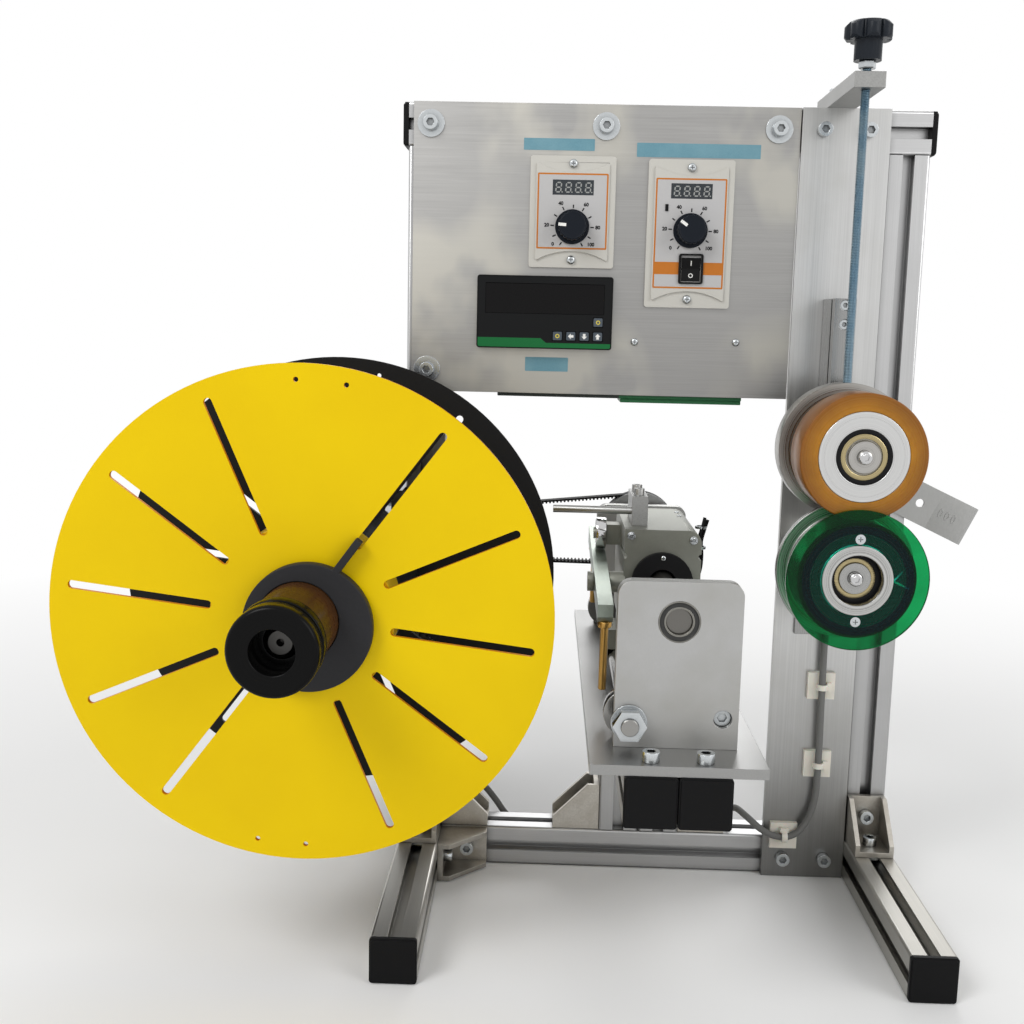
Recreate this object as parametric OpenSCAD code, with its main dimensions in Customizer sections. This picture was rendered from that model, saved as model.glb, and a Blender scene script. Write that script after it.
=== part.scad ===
// Filament rewinder: an aluminium profile stand that carries a slotted reel on a mandrel, a rolling-ring
// traverse drive, a control panel and a pair of metering rollers.
// Sizes are in millimetres. The reel, traverse and roller axes all run along Y, front to back.

/* [Frame] */
// Side of the square aluminium profile
profile_w = 30; // [30:1:34]
// Width of the T-slot mouth
slot_w = 8.2; // [7:0.1:9]
// Width over the two uprights
frame_w = 365; // [350:1:420]
// Height of the frame to the top of the top bar
frame_h = 562.5; // [540:0.5:650]
// Reach of each foot in front of and behind the uprights
foot_reach = 175; // [150:1:220]
// Thickness of the plastic end caps
cap_t = 4; // [2:0.5:6]
// Leg length of a corner bracket
bracket_leg = 35; // [32:1:38]
// Wall of a corner bracket
bracket_t = 4; // [3:0.5:5]

/* [Traverse bed] */
// Height of the two posts between crossbar and beams
post_h = 105; // [90:1:120]
// Left edge of the bed beams, from the left upright's outer face
bed_x = 149.8; // [140:0.1:160]
// Gap between the two bed beams
bed_gap = 0.4; // [0.2:0.1:2]
// Reach of the bed beams in front of the uprights
bed_front = 240; // [225:1:260]
// Length of the bed beams
bed_len = 368; // [340:1:400]
// Thickness of the base plate on the beams
base_t = 6; // [4:0.5:10]
// Width of the base plate
base_w = 99; // [90:1:120]
// Thickness of the two shaft bearing plates
bear_plate_t = 10; // [8:0.5:14]
// Height of the traverse shaft above the base plate
shaft_h = 74.3; // [70:0.1:90]
// Diameter of the traverse shaft
shaft_d = 15; // [12:0.5:15]
// Diameter of the stop rod beside the shaft
stop_rod_d = 10; // [8:0.5:12]

/* [Traverse carriage] */
// Width of the carriage housing
carriage_w = 50; // [46:1:54]
// Height of the carriage housing
carriage_h = 69; // [62:1:70]
// Length of the carriage housing
carriage_len = 97; // [85:1:105]
// Front face of the carriage, from the front faces of the uprights
carriage_y = -103; // [-110:1:-98]
// Diameter of the filament guide rod
guide_rod_d = 5; // [3:0.5:6]
// Length of the filament guide rod left of its clamp
guide_rod_len = 52; // [40:1:60]
// Resting tilt of the reversing lever
lever_tilt = 6; // [3:0.5:7]

/* [Reel] */
// Distance of the reel axis left of the left upright
reel_off = 40; // [36:1:60]
// Height of the reel axis
reel_z = 235; // [225:1:260]
// Diameter of the reel flanges
flange_d = 300; // [280:1:320]
// Thickness of the reel flanges
flange_t = 3; // [2:0.5:5]
// Clear width between the flanges
reel_w = 134; // [110:1:145]
// Diameter of the winding core
core_d = 110; // [90:1:115]
// Diameter of the mandrel tube
mandrel_d = 47; // [40:1:48]
// Diameter of the mandrel cap
cap_d = 51; // [49.5:0.5:56]
// Diameter of the reel shaft
reel_shaft_d = 20; // [16:0.5:20]
// Width of the flange slots
flange_slot_w = 5; // [3:0.5:8]

/* [Belt drive] */
// Teeth on the reel pulley
reel_teeth = 34; // [28:1:36]
// Teeth on the traverse pulley
traverse_teeth = 60; // [50:1:66]
// Belt pitch
belt_pitch = 3; // [2.8:0.1:3.2]
// Belt width
belt_w = 10; // [6:0.5:11]

/* [Control panel] */
// Gap between the panel sheet and the guide plate
panel_gap = 0.6; // [0.3:0.1:8]
// Height of the panel sheet
panel_h = 201.5; // [195:0.5:230]
// Thickness of the panel sheet
panel_t = 3; // [1.5:0.5:4]
// Diameter of the control knobs
knob_d = 24; // [18:0.5:26]

/* [Metering rollers] */
// Width of the guide plate
guide_w = 61; // [58:1:62]
// Thickness of the guide plate
guide_t = 5; // [4:0.5:8]
// Roller axis from the frame's right side
roller_in = 64.5; // [61:0.5:67]
// Height of the metering wheel axis
meter_z = 254.7; // [245:0.1:265]
// Diameter of the metering wheel's running groove
groove_d = 75; // [70:0.5:78]
// Diameter of the metering wheel's flanges
meter_d = 90; // [86:0.5:94]
// Diameter of the pressure roller
roller_d = 80; // [76:0.5:84]
// Width of the pressure roller
roller_w = 30; // [24:0.5:32]
// Gap between roller and groove at rest
nip_gap = 0.3; // [0.2:0.05:2]
// Diameter of the pressure screw
screw_d = 6; // [5:0.5:8]
// Diameter of the star knob
star_d = 31; // [28:0.5:40]
// Diameter of the roller axles
axle_d = 15; // [12:0.5:15]
// Diameter of the sensor cable
cable_d = 5; // [3:0.5:5]

/* [Fits] */
// Clearance between a moving piece and its neighbour
clear = 0.3; // [0.2:0.05:0.5]
// Radial clearance of a running shaft
run_fit = 0.05; // [0.02:0.01:0.1]

/* [Hidden] */
$fn = 64;

// Profile section
half = profile_w / 2;
lip_t = 2.2;
cavity_w = 16.5;
cavity_d = 9.3;
cavity_straight = 5.2;
slot_floor_w = 8;
profile_r = 2;
core_bore_d = 7;

// Socket bolts and slot nuts
bolt_d = 6;
bolt_head_d = 10;
bolt_head_h = 6;
bolt_hole_d = 6.8;
hex_key = 5;
nut_w = 11;
nut_t = 4;
nut_bore_d = 6.2;
bolt_past_nut = 1;
washer_d = 19;
washer_t = 1.5;
bracket_w = profile_w - 2;
bracket_bolt = 0.57 * bracket_leg;

// Frame levels and places; X starts at the left upright's outer face, Y at the uprights' front faces
left_x = half;
right_x = frame_w - half;
upright_top = frame_h - profile_w;
top_z = frame_h - half;
bar_y = half;
beam_z0 = profile_w + post_h;
base_z0 = beam_z0 + profile_w;
base_z = base_z0 + base_t;
post_xs = [bed_x + half, bed_x + half + profile_w + bed_gap];
bed_mid = (post_xs[0] + post_xs[1]) / 2;
bed_right = bed_x + 2 * profile_w + bed_gap;
base_y0 = -bed_front - 2;
base_len = bed_len + 4;

// Traverse shaft and its bearing plates
shaft_x = bed_mid;
shaft_z = base_z + shaft_h;
front_plate_y = -212;
rear_plate_y = 85;
plate_w = 71;
plate_left = shaft_x - 35;
plate_top = shaft_z + 23;
plate_corner_r = 8;
shaft_bearing_d = 24;
shaft_bearing_w = 5;
shaft_sink = 2.5;
stop_x = shaft_x - 26.5;
stop_z = base_z + 15;
tie_x = shaft_x + 27;
tie_z = base_z + 18;
tie_hole_d = 10.7;
tie_head_h = 3.5;

// Belt plane, behind the rear bearing plate
belt_y = 105;
pulley_w = belt_w + 2;
pulley_wall = 1.5;
belt_back = 1.4;
tooth_h = 1.2;
pitch_drop = 0.76;
reel_x = -reel_off;
reel_or = reel_teeth * belt_pitch / PI / 2 - pitch_drop / 2;
traverse_or = traverse_teeth * belt_pitch / PI / 2 - pitch_drop / 2;

// Reel stack along Y, from the front
rear_flange_y = -50;
front_flange_y = rear_flange_y - reel_w - flange_t;
collar_t = 8;
collar_y = front_flange_y - clear - collar_t;
collar_d = 77;
collar_shift = [5, -4];
mandrel_y0 = -240;
mandrel_flange_d = 66;
mandrel_flange_t = 6;
mandrel_y1 = rear_flange_y + flange_t + mandrel_flange_t;
cap_y0 = -265;
cap_recess_d = 25;
shaft_end_y = -243;
slide_bore_d = mandrel_d + 2 * clear;
slot_r0 = 56;
slot_r1 = 137;
slot_angles = [for (k = [0:11]) if (k != 3 && k != 9) -7 + 30 * k];
rim_hole_d = 3;

// Reel bearing housing and motor
housing_wall = 8;
housing_half = reel_off - housing_wall;
housing_y0 = -15;
housing_y1 = 60;
reel_bearing_d = 32;
reel_bearing_w = 7;
motor_plate_y = 121;
motor_plate_t = 6;
gearbox_len = 44;
motor_len = 70;
motor_d = 58;
motor_y = motor_plate_y + motor_plate_t;
motor_end = motor_y + gearbox_len + motor_len;
side_z0 = reel_z - 47;
side_z1 = reel_z + 55;
side_bolt_z = [side_z0 + 8, side_z1 - 12];

// Panel places; what sits on the panel spreads with its width
guide_x = frame_w - profile_w - guide_w;
panel_x = 3.8;
panel_z = frame_h - panel_h;
panel_w = guide_x - panel_gap - panel_x;
panel_drawn_w = 269.6;
spread = panel_w / panel_drawn_w;
panel_top_bolt_x = [half + 1, panel_x + 134.7 * spread, panel_x + panel_w - 14.9];
panel_low_bolt_z = panel_z + 15.5;
face_y = -panel_t;
meter_box = [panel_x + 46.9 * spread, panel_z + 32, 96, 51];
meter_face_t = 8;
meter_back = [90, 44, 70];
key_w = 6.4;
key_h = 6;
key_proud = 0.8;
key_depth = 3.4;
key_pocket = 4.4;
key_z = meter_box[1] + 9.2;
key_x0 = meter_box[0] + 57.5;
key_step = 9.5;
key_reset_z = key_z + 10;
display_w = 84;
display_h = 21;
display_up = 9.5;
unit_w = 60;
speed_box = [panel_x + 82.5 * spread, panel_z + 89, unit_w, 77];
torque_box = [panel_x + 165.2 * spread, panel_z + 63, unit_w, 102];
unit_t = 2.5;
unit_face_t = 1.5;
unit_back = [50, 60, 48];
speed_knob_at = [speed_box[0] + 30.2, panel_z + 117.3];
torque_knob_at = [torque_box[0] + 30.3, panel_z + 116.3];
unit_front = face_y - unit_t - unit_face_t;
knob_h = 14;
knob_stem_d = 6;
window_w = 29;
window_h = 10.6;
window_up = 27;
window_sink = 0.8;
rocker_at = [torque_box[0] + 31.8, panel_z + 90];
rocker_w = 13;
rocker_half = 8.2;
rocker_lip = 3.2;
rocker_tilt = 9;
rocker_pin_d = 3;
bezel_w = 17;
bezel_h = 20.6;

// Guide plate and roller stack along Y
plate_y = -guide_t;
roller_x = frame_w - roller_in;
guide_bolt_x = [guide_x + 15, guide_x + guide_w - 15];
groove_w = roller_w + 2 * 0.5;
disc_t = 3;
meter_y0 = -127.5;
groove_y0 = meter_y0 + disc_t;
groove_y1 = groove_y0 + groove_w;
meter_y1 = groove_y1 + 5;
roller_y0 = groove_y0 + 0.5;
roller_y1 = roller_y0 + roller_w;
roller_z = meter_z + roller_d / 2 + groove_d / 2 + nip_gap;
meter_bearing_d = 32;
meter_bearing_w = 9;
roller_bearing_d = 35;
roller_bearing_w = 11;
tyre_bond_d = 57;
hub_ring_d = 45;
axle_cap_t = 2;
carrier_d = 88;
carrier_y0 = -75;
carrier_y1 = -60;
rail_x = roller_x + 2.5;
rail_w = 15;
rail_y = -40;
rail_z0 = roller_z - 46;
rail_z1 = roller_z + 99.5;
block_w = 34;
block_len = 56;
block_y0 = rail_y - 6;
screw_y = (carrier_y0 + carrier_y1) / 2;
bracket_bar_w = 20;
bracket_bar_t = 10;
bracket_bar_y0 = screw_y - 10.5;
knob_nut_z = frame_h + bracket_bar_t + 3;
screw_seat_z = roller_z + carrier_d / 2 - 8;
star_z0 = knob_nut_z + 17.5;
star_h = 12;
screw_in = 6;
knob_nut_w = 10;
knob_nut_t = 5;
sensor_d = 12;
sensor_at = [roller_x + 8.5, meter_z - 29];
sensor_y0 = meter_y1 + 2;
sensor_y1 = -40;

// Bent strip on the right upright
strip_at = [right_x, 299.6];
strip_angle = -25;
strip_w = 29;
strip_t = 2;
strip_back = 10;
strip_flat = 39;
strip_bend = 10;
strip_wing = 24;
strip_lip_angle = -55;
strip_lip = 6;
strip_hole_at = 27;
strip_hole_d = 6;
strip_reach = strip_flat + strip_wing * cos(strip_bend) + strip_lip * cos(strip_lip_angle)
    - strip_t * sin(strip_lip_angle);

// Cable tie mounts on the guide plate and the sensor cable's route
mount_w = 20;
mount_t = 4;
cable_y = plate_y - mount_t - cable_d / 2 - clear;
mounts_at = [[roller_x + 9.5, 151], [roller_x + 10, 91], [roller_x - 11.9, 34]];
back_y = profile_w + mount_t + cable_d / 2 + clear;
bar_mount_x = [95, roller_x - 100.5];
rise_z = [120, panel_z - 21];
back_mount_z = [rise_z[0], (rise_z[0] + rise_z[1]) / 2, rise_z[1]];
// From the sensor down the guide plate and over the crossbar, X from the roller axis
front_run = [[8.5, -31.7, 225.7], [8.5, -27, 225.2], [8.5, -21.5, 221.5], [8.7, -17, 215],
    [8.9, -13.5, 206], [9.1, cable_y, 195], [9.2, cable_y, 183], [9.3, cable_y, 168],
    [9.5, cable_y, 151], [9.6, cable_y, 136], [9.8, cable_y, 121], [10, cable_y, 106],
    [10, cable_y, 91], [9.9, cable_y, 78], [9.3, cable_y, 66], [7.1, cable_y, 55],
    [3.1, cable_y, 45.5], [-3, cable_y, 37.5], [-11.9, cable_y, 34], [-21.5, cable_y, 35.5],
    [-30, cable_y, 40], [-37, -10, 45.5], [-42.5, -5, 49], [-46, 3, 49.5], [-48, 11, 46.5],
    [-49, 19, 43], [-50, 27, 38.5], [-52, 33, 32], [-57.5, back_y, 25], [-65.5, back_y, 20],
    [-75.5, back_y, 16.5], [-87.5, back_y, 15.2]];
bar_steps = 7;
// From the crossbar across to the back of the left upright
left_run = [[85, 37.2, 18.5], [77, 38, 26], [70, 39, 35.5], [62, 40, 45], [53, 40.5, 54], [44, 40.5, 63],
    [35.5, 40, 72], [28, 39.2, 81.5], [21.5, 38.2, 91], [17.2, 37.2, 101], [15.3, back_y, 110.5]];
rise_steps = 16;
// From the upright into the meter's side, X from the meter and Z from the panel's lower edge
meter_run = [[-35.1, 37, -8], [-32.9, 38.5, 4], [-28.7, 42, 15.5], [-23.2, 47.5, 25.5], [-17.7, 52.5, 34],
    [-12.2, 55.8, 42], [-6.2, 57.5, 47.5], [2.3, 57.8, 50]];
cable_route = concat(
    [for (p = front_run) [roller_x + p[0], p[1], p[2]]],
    [for (k = [0:bar_steps])
        [bar_mount_x[1] + (bar_mount_x[0] - bar_mount_x[1]) * k / bar_steps, back_y, half]],
    left_run,
    [for (k = [0:rise_steps]) [left_x, back_y, rise_z[0] + (rise_z[1] - rise_z[0]) * k / rise_steps]],
    [for (p = meter_run) [meter_box[0] + p[0], p[1], panel_z + p[2]]]);

// Origin: the middle of the part's footprint on the floor
x_min = reel_x - flange_d / 2;
x_max = strip_at[0] + strip_reach * cos(strip_angle) - sin(strip_angle) * strip_w / 2;
origin = [(x_min + x_max) / 2, (cap_y0 + motor_end) / 2, 0];

// Orientation helpers: each turns +Z, where bolts have their heads, to the named direction
to_front = [90, 0, 0];
to_back = [-90, 0, 0];
to_right = [0, 90, 0];
to_left = [0, -90, 0];
to_up = [0, 0, 0];

module in_xz(y0, y1) translate([0, y1, 0]) rotate([90, 0, 0]) linear_extrude(y1 - y0) children();
module in_yz(x0, x1) translate([x0, 0, 0]) rotate([90, 0, 90]) linear_extrude(x1 - x0) children();
module on_y(x, z) translate([x, 0, z]) rotate([-90, 0, 0]) children();
module rod_y(x, z, y0, y1, d) translate([x, y0, z]) rotate([-90, 0, 0]) cylinder(d = d, h = y1 - y0);
module box(lo, hi) translate(lo) cube(hi - lo);

module round_rect(w, h, r) {
    translate([-w / 2 + r, -h / 2]) square([w - 2 * r, h]);
    translate([-w / 2, -h / 2 + r]) square([w, h - 2 * r]);
    for (x = [-w / 2 + r, w / 2 - r], y = [-h / 2 + r, h / 2 - r]) translate([x, y]) circle(r);
}

module ring(d_out, d_in, h) {
    difference() {
        cylinder(d = d_out, h = h);
        translate([0, 0, -1]) cylinder(d = d_in, h = h + 2);
    }
}

// Extruded profile: four T-slots round a bored core, drawn along Z
module profile_section() {
    difference() {
        round_rect(profile_w, profile_w, profile_r);
        for (a = [0:90:270]) rotate(a) polygon([
            [-slot_w / 2, half + 1], [-slot_w / 2, half - lip_t], [-cavity_w / 2, half - lip_t],
            [-cavity_w / 2, half - cavity_straight], [-slot_floor_w / 2, half - cavity_d],
            [slot_floor_w / 2, half - cavity_d], [cavity_w / 2, half - cavity_straight],
            [cavity_w / 2, half - lip_t], [slot_w / 2, half - lip_t], [slot_w / 2, half + 1]]);
        circle(d = core_bore_d);
    }
}
module profile_x(x0, x1, y, z)
    translate([x0, y, z]) rotate(to_right) linear_extrude(x1 - x0) profile_section();
module profile_y(x, y0, y1, z)
    translate([x, y0, z]) rotate(to_back) linear_extrude(y1 - y0) profile_section();
module profile_z(x, y, z0, z1)
    translate([x, y, z0]) linear_extrude(z1 - z0) profile_section();

// End cap with a stepped rim and a plug in the core bore, facing +Z
module end_cap() {
    step = 1;
    plug = 5;
    face_w = profile_w - 2 * step;
    linear_extrude(cap_t - step) round_rect(profile_w, profile_w, profile_r);
    translate([0, 0, cap_t - step]) linear_extrude(step) round_rect(face_w, face_w, profile_r);
    translate([0, 0, -plug]) cylinder(d = core_bore_d - 2 * run_fit, h = plug);
}

// Cast bracket: legs along +X and +Z, with a triangular web on both sides
module corner_bracket() {
    web_t = 3.5;
    nose = 9;
    difference() {
        union() {
            box([0, -bracket_w / 2, 0], [bracket_leg, bracket_w / 2, bracket_t]);
            box([0, -bracket_w / 2, 0], [bracket_t, bracket_w / 2, bracket_leg]);
            for (y = [-bracket_w / 2, bracket_w / 2 - web_t]) in_xz(y, y + web_t)
                polygon([[0, 0], [bracket_leg, 0], [bracket_leg, nose], [nose, bracket_leg],
                    [0, bracket_leg]]);
        }
        translate([bracket_bolt, 0, -1]) cylinder(d = bolt_hole_d, h = bracket_t + 2);
        translate([-1, 0, bracket_bolt]) rotate(to_right) cylinder(d = bolt_hole_d, h = bracket_t + 2);
    }
}

// Where each bracket's inner corner sits, and how it is turned
bracket_places = concat(
    [[[profile_w, half, profile_w], [0, 0, 0]],
     [[frame_w - profile_w, half, profile_w], [0, 0, 180]],
     [[bed_x, half, profile_w], [0, 0, 180]],
     [[bed_right, half, profile_w], [0, 0, 0]],
     [[profile_w, half, upright_top], [0, 90, 0]],
     [[frame_w - profile_w, half, upright_top], [0, 180, 0]],
     [[profile_w, 0, half], [90, 0, 0]],
     [[profile_w, profile_w, half], [-90, 0, 0]],
     [[frame_w - profile_w, profile_w, half], [90, 0, 180]]],
    [for (x = [left_x, right_x]) [[x, 0, profile_w], [0, 0, -90]]],
    [for (x = [left_x, right_x]) [[x, profile_w, profile_w], [0, 0, 90]]],
    [for (x = post_xs) [[x, 0, beam_z0], [180, 0, -90]]],
    [for (x = post_xs) [[x, profile_w, beam_z0], [180, 0, 90]]]);

// Socket bolt along -Z, head seated on z = 0
module socket_bolt(len, head_h = bolt_head_h) {
    difference() {
        cylinder(d = bolt_head_d, h = head_h);
        translate([0, 0, head_h / 2]) cylinder(d = hex_key * 2 / sqrt(3), h = head_h, $fn = 6);
    }
    translate([0, 0, -len]) cylinder(d = bolt_d, h = len);
}
// Bolt through a wall of thickness t into a slot nut
module slot_bolt(t) {
    socket_bolt(t + lip_t + nut_t + bolt_past_nut);
    translate([0, 0, -t - lip_t - nut_t]) difference() {
        translate([-nut_w / 2, -nut_w / 2, 0]) cube([nut_w, nut_w, nut_t]);
        translate([0, 0, -1]) cylinder(d = nut_bore_d, h = nut_t + 2);
    }
}
module slot_bolt_at(pos, turn, t) translate(pos) rotate(turn) slot_bolt(t);

module feet_rails() {
    color("gainsboro") for (x = [left_x, right_x]) profile_y(x, -foot_reach, profile_w + foot_reach, half);
}
module uprights() {
    color("gainsboro") {
        for (x = [left_x, right_x]) profile_z(x, bar_y, profile_w, upright_top);
        for (x = post_xs) profile_z(x, bar_y, profile_w, beam_z0);
    }
}
module cross_bars() {
    color("gainsboro") {
        profile_x(0, frame_w, bar_y, top_z);
        profile_x(profile_w, frame_w - profile_w, bar_y, half);
    }
}
module bed_beams() {
    color("gainsboro") for (x = post_xs) profile_y(x, -bed_front, bed_len - bed_front, beam_z0 + half);
}
module end_caps() {
    color("#1c1c1e") {
        for (x = [left_x, right_x]) {
            translate([x, -foot_reach, half]) rotate(to_front) end_cap();
            translate([x, profile_w + foot_reach, half]) rotate(to_back) end_cap();
        }
        for (x = post_xs) {
            translate([x, -bed_front, beam_z0 + half]) rotate(to_front) end_cap();
            translate([x, bed_len - bed_front, beam_z0 + half]) rotate(to_back) end_cap();
        }
        translate([0, bar_y, top_z]) rotate(to_left) end_cap();
        translate([frame_w, bar_y, top_z]) rotate(to_right) end_cap();
    }
}
module corner_brackets() {
    color("silver") for (p = bracket_places) translate(p[0]) rotate(p[1]) corner_bracket();
}
base_bolt_y = [-bed_front + 6, -60, bed_len - bed_front - 18];
rod_nut_w = 17;
rod_nut_t = 8;
rod_washer_d = 21;
rod_washer_t = 2;
rail_head_d = 7;
rail_head_h = 4;
module fasteners() {
    color("lightsteelblue") {
        for (p = bracket_places) translate(p[0]) rotate(p[1]) {
            slot_bolt_at([bracket_bolt, 0, bracket_t], to_up, bracket_t);
            slot_bolt_at([bracket_t, 0, bracket_bolt], to_right, bracket_t);
        }
        for (x = panel_top_bolt_x) slot_bolt_at([x, face_y - washer_t, top_z], to_front, panel_t + washer_t);
        slot_bolt_at([left_x, face_y - washer_t, panel_low_bolt_z], to_front, panel_t + washer_t);
        for (p = concat([for (x = panel_top_bolt_x) [x, top_z]], [[left_x, panel_low_bolt_z]]))
            translate([p[0], face_y, p[1]]) rotate(to_front) ring(washer_d, bolt_hole_d, washer_t);
        for (x = guide_bolt_x, z = [half, top_z]) slot_bolt_at([x, plate_y, z], to_front, guide_t);
        for (x = post_xs, y = base_bolt_y) slot_bolt_at([x, y, base_z], to_up, base_t);
        slot_bolt_at([roller_x, bar_y, frame_h + bracket_bar_t], to_up, bracket_bar_t);
        slot_bolt_at([strip_at[0], -strip_t, strip_at[1]], to_front, strip_t);
        for (z = side_bolt_z) slot_bolt_at([-housing_wall, bar_y, z], to_left, housing_wall);
        // Washer and nut on the front end of the stop rod
        translate([stop_x, front_plate_y, stop_z]) rotate(to_front) {
            ring(rod_washer_d, stop_rod_d + 2 * run_fit, rod_washer_t);
            translate([0, 0, rod_washer_t]) difference() {
                cylinder(d = rod_nut_w * 2 / sqrt(3), h = rod_nut_t, $fn = 6);
                translate([0, 0, -1]) cylinder(d = stop_rod_d + 2 * run_fit, h = rod_nut_t + 2);
            }
        }
        // Screw recessed in the tie hole of the front plate
        translate([tie_x, front_plate_y + tie_sink, tie_z]) rotate(to_front)
            socket_bolt(bear_plate_t - tie_sink, tie_head_h);
        // Screw heads sunk in the slide rail
        for (z = rail_screw_z) translate([rail_x, rail_y + rail_sink, z]) rotate(to_front) difference() {
            cylinder(d = rail_head_d, h = rail_head_h);
            translate([0, 0, rail_head_h / 2]) cylinder(d = rail_head_d / 2, h = rail_head_h, $fn = 6);
        }
    }
}
module base_plate() {
    color("lightgray") difference() {
        box([shaft_x - base_w / 2, base_y0, base_z0], [shaft_x + base_w / 2, base_y0 + base_len, base_z]);
        for (x = post_xs, y = base_bolt_y)
            translate([x, y, base_z0 - 1]) cylinder(d = bolt_hole_d, h = base_t + 2);
    }
}

// Bearing plates on the base plate, with a bearing seat, the stop rod and a tie screw
tie_sink = 7;
module plate_outline() {
    difference() {
        union() {
            translate([plate_left, base_z]) square([plate_w, plate_top - base_z - plate_corner_r]);
            translate([plate_left + plate_corner_r, base_z])
                square([plate_w - 2 * plate_corner_r, plate_top - base_z]);
            for (x = [plate_left + plate_corner_r, plate_left + plate_w - plate_corner_r])
                translate([x, plate_top - plate_corner_r]) circle(plate_corner_r);
        }
        translate([shaft_x, shaft_z]) circle(d = shaft_bearing_d + 2 * run_fit);
        translate([stop_x, stop_z]) circle(d = stop_rod_d + 2 * run_fit);
        translate([tie_x, tie_z]) circle(d = bolt_hole_d);
    }
}
module bearing_plates() {
    color("whitesmoke") {
        difference() {
            in_xz(front_plate_y, front_plate_y + bear_plate_t) plate_outline();
            rod_y(tie_x, tie_z, front_plate_y - 1, front_plate_y + tie_sink, tie_hole_d);
        }
        in_xz(rear_plate_y, rear_plate_y + bear_plate_t) plate_outline();
    }
}
// Ball bearing along +Z: rings with shields set back between them
module ball_bearing(d_out, d_in, w) {
    rim = (d_out - d_in) * 0.14;
    difference() {
        ring(d_out, d_in, w);
        for (z = [-1, w - 0.5]) translate([0, 0, z]) ring(d_out - 2 * rim, d_in + 2 * rim, 1.5);
    }
}
shaft_bore_d = shaft_d + 2 * run_fit;
axle_fit_d = axle_d + 2 * run_fit;
meter_bearing_y = [meter_y0 + 9, meter_y1 - meter_bearing_w - 3];
module shaft_bearings() {
    color("#3a3b3d") {
        for (y = [front_plate_y, rear_plate_y + bear_plate_t - shaft_bearing_w])
            on_y(shaft_x, shaft_z) translate([0, 0, y])
                ball_bearing(shaft_bearing_d, shaft_bore_d, shaft_bearing_w);
        for (y = [housing_y0, housing_y1 - reel_bearing_w]) on_y(reel_x, reel_z)
            translate([0, 0, y]) ball_bearing(reel_bearing_d, reel_shaft_d + 2 * run_fit, reel_bearing_w);
        for (y = meter_bearing_y) on_y(roller_x, meter_z)
            translate([0, 0, y]) ball_bearing(meter_bearing_d, axle_fit_d, meter_bearing_w);
    }
}
collar_len = 10;
stop_collar_d = 28;
front_stop_y = front_plate_y + bear_plate_t + 5;
rear_stop_y = rear_plate_y - collar_len;
module stop_rod() {
    color("silver") {
        rod_y(stop_x, stop_z, front_plate_y - 12, rear_plate_y + bear_plate_t + 2, stop_rod_d);
        for (y = [front_stop_y, rear_stop_y]) on_y(stop_x, stop_z) translate([0, 0, y])
            ring(stop_collar_d, stop_rod_d + 2 * run_fit, collar_len);
    }
}

// Timing belt: tangent geometry between the two pulleys, with teeth on the free spans
belt_d = [shaft_x - reel_x, shaft_z - reel_z];
belt_span = norm(belt_d);
belt_dir = atan2(belt_d[1], belt_d[0]);
belt_beta = asin((traverse_or - reel_or) / belt_span);
arc_steps = 24;
function polar(c, r, a) = [c[0] + r * cos(a), c[1] + r * sin(a)];
reel_c = [reel_x, reel_z];
trav_c = [shaft_x, shaft_z];
up_a = belt_dir + 90 + belt_beta;
low_a = belt_dir - 90 - belt_beta;
function arc_pts(c, r, a0, a1) = [for (i = [0:arc_steps]) polar(c, r, a0 + (a1 - a0) * i / arc_steps)];
function belt_loop(e) = concat(arc_pts(reel_c, reel_or + e, up_a, low_a + 360),
    arc_pts(trav_c, traverse_or + e, low_a, up_a));
free_margin = 12;
tooth_n = floor((sqrt(belt_span ^ 2 - (traverse_or - reel_or) ^ 2) - 2 * free_margin) / belt_pitch);
function span_teeth(p, q, side) = let (u = (q - p) / norm(q - p), v = side * [-u[1], u[0]])
    [for (i = [0:tooth_n - 1], k = [0:3]) p + u * (free_margin + belt_pitch * (i + [0.2, 0.32, 0.68, 0.8][k]))
        + v * [0, tooth_h, tooth_h, 0][k]];
function belt_inside(e) = concat(arc_pts(reel_c, reel_or + e, up_a, low_a + 360),
    span_teeth(polar(reel_c, reel_or + e, low_a), polar(trav_c, traverse_or + e, low_a), 1),
    arc_pts(trav_c, traverse_or + e, low_a, up_a),
    span_teeth(polar(trav_c, traverse_or + e, up_a), polar(reel_c, reel_or + e, up_a), 1));
module drive_belt() {
    color("#151515") in_xz(belt_y + 1, belt_y + 1 + belt_w) difference() {
        polygon(belt_loop(clear + belt_back));
        polygon(belt_inside(clear));
    }
}
module pulley_teeth(n, r) {
    step = 360 / n;
    polygon([for (i = [0:n - 1], k = [0:3])
        polar([0, 0], r - [0, 0, tooth_h, tooth_h][k], step * (i + [0, 0.56, 0.64, 0.92][k]))]);
}
module pulley(n, r, bore) {
    difference() {
        union() {
            translate([0, 0, belt_y]) linear_extrude(pulley_w) pulley_teeth(n, r);
            for (y = [belt_y - pulley_wall, belt_y + pulley_w]) translate([0, 0, y])
                cylinder(r = r + 3, h = pulley_wall);
        }
        translate([0, 0, belt_y - 5]) cylinder(d = bore, h = pulley_w + 10);
    }
}

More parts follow.
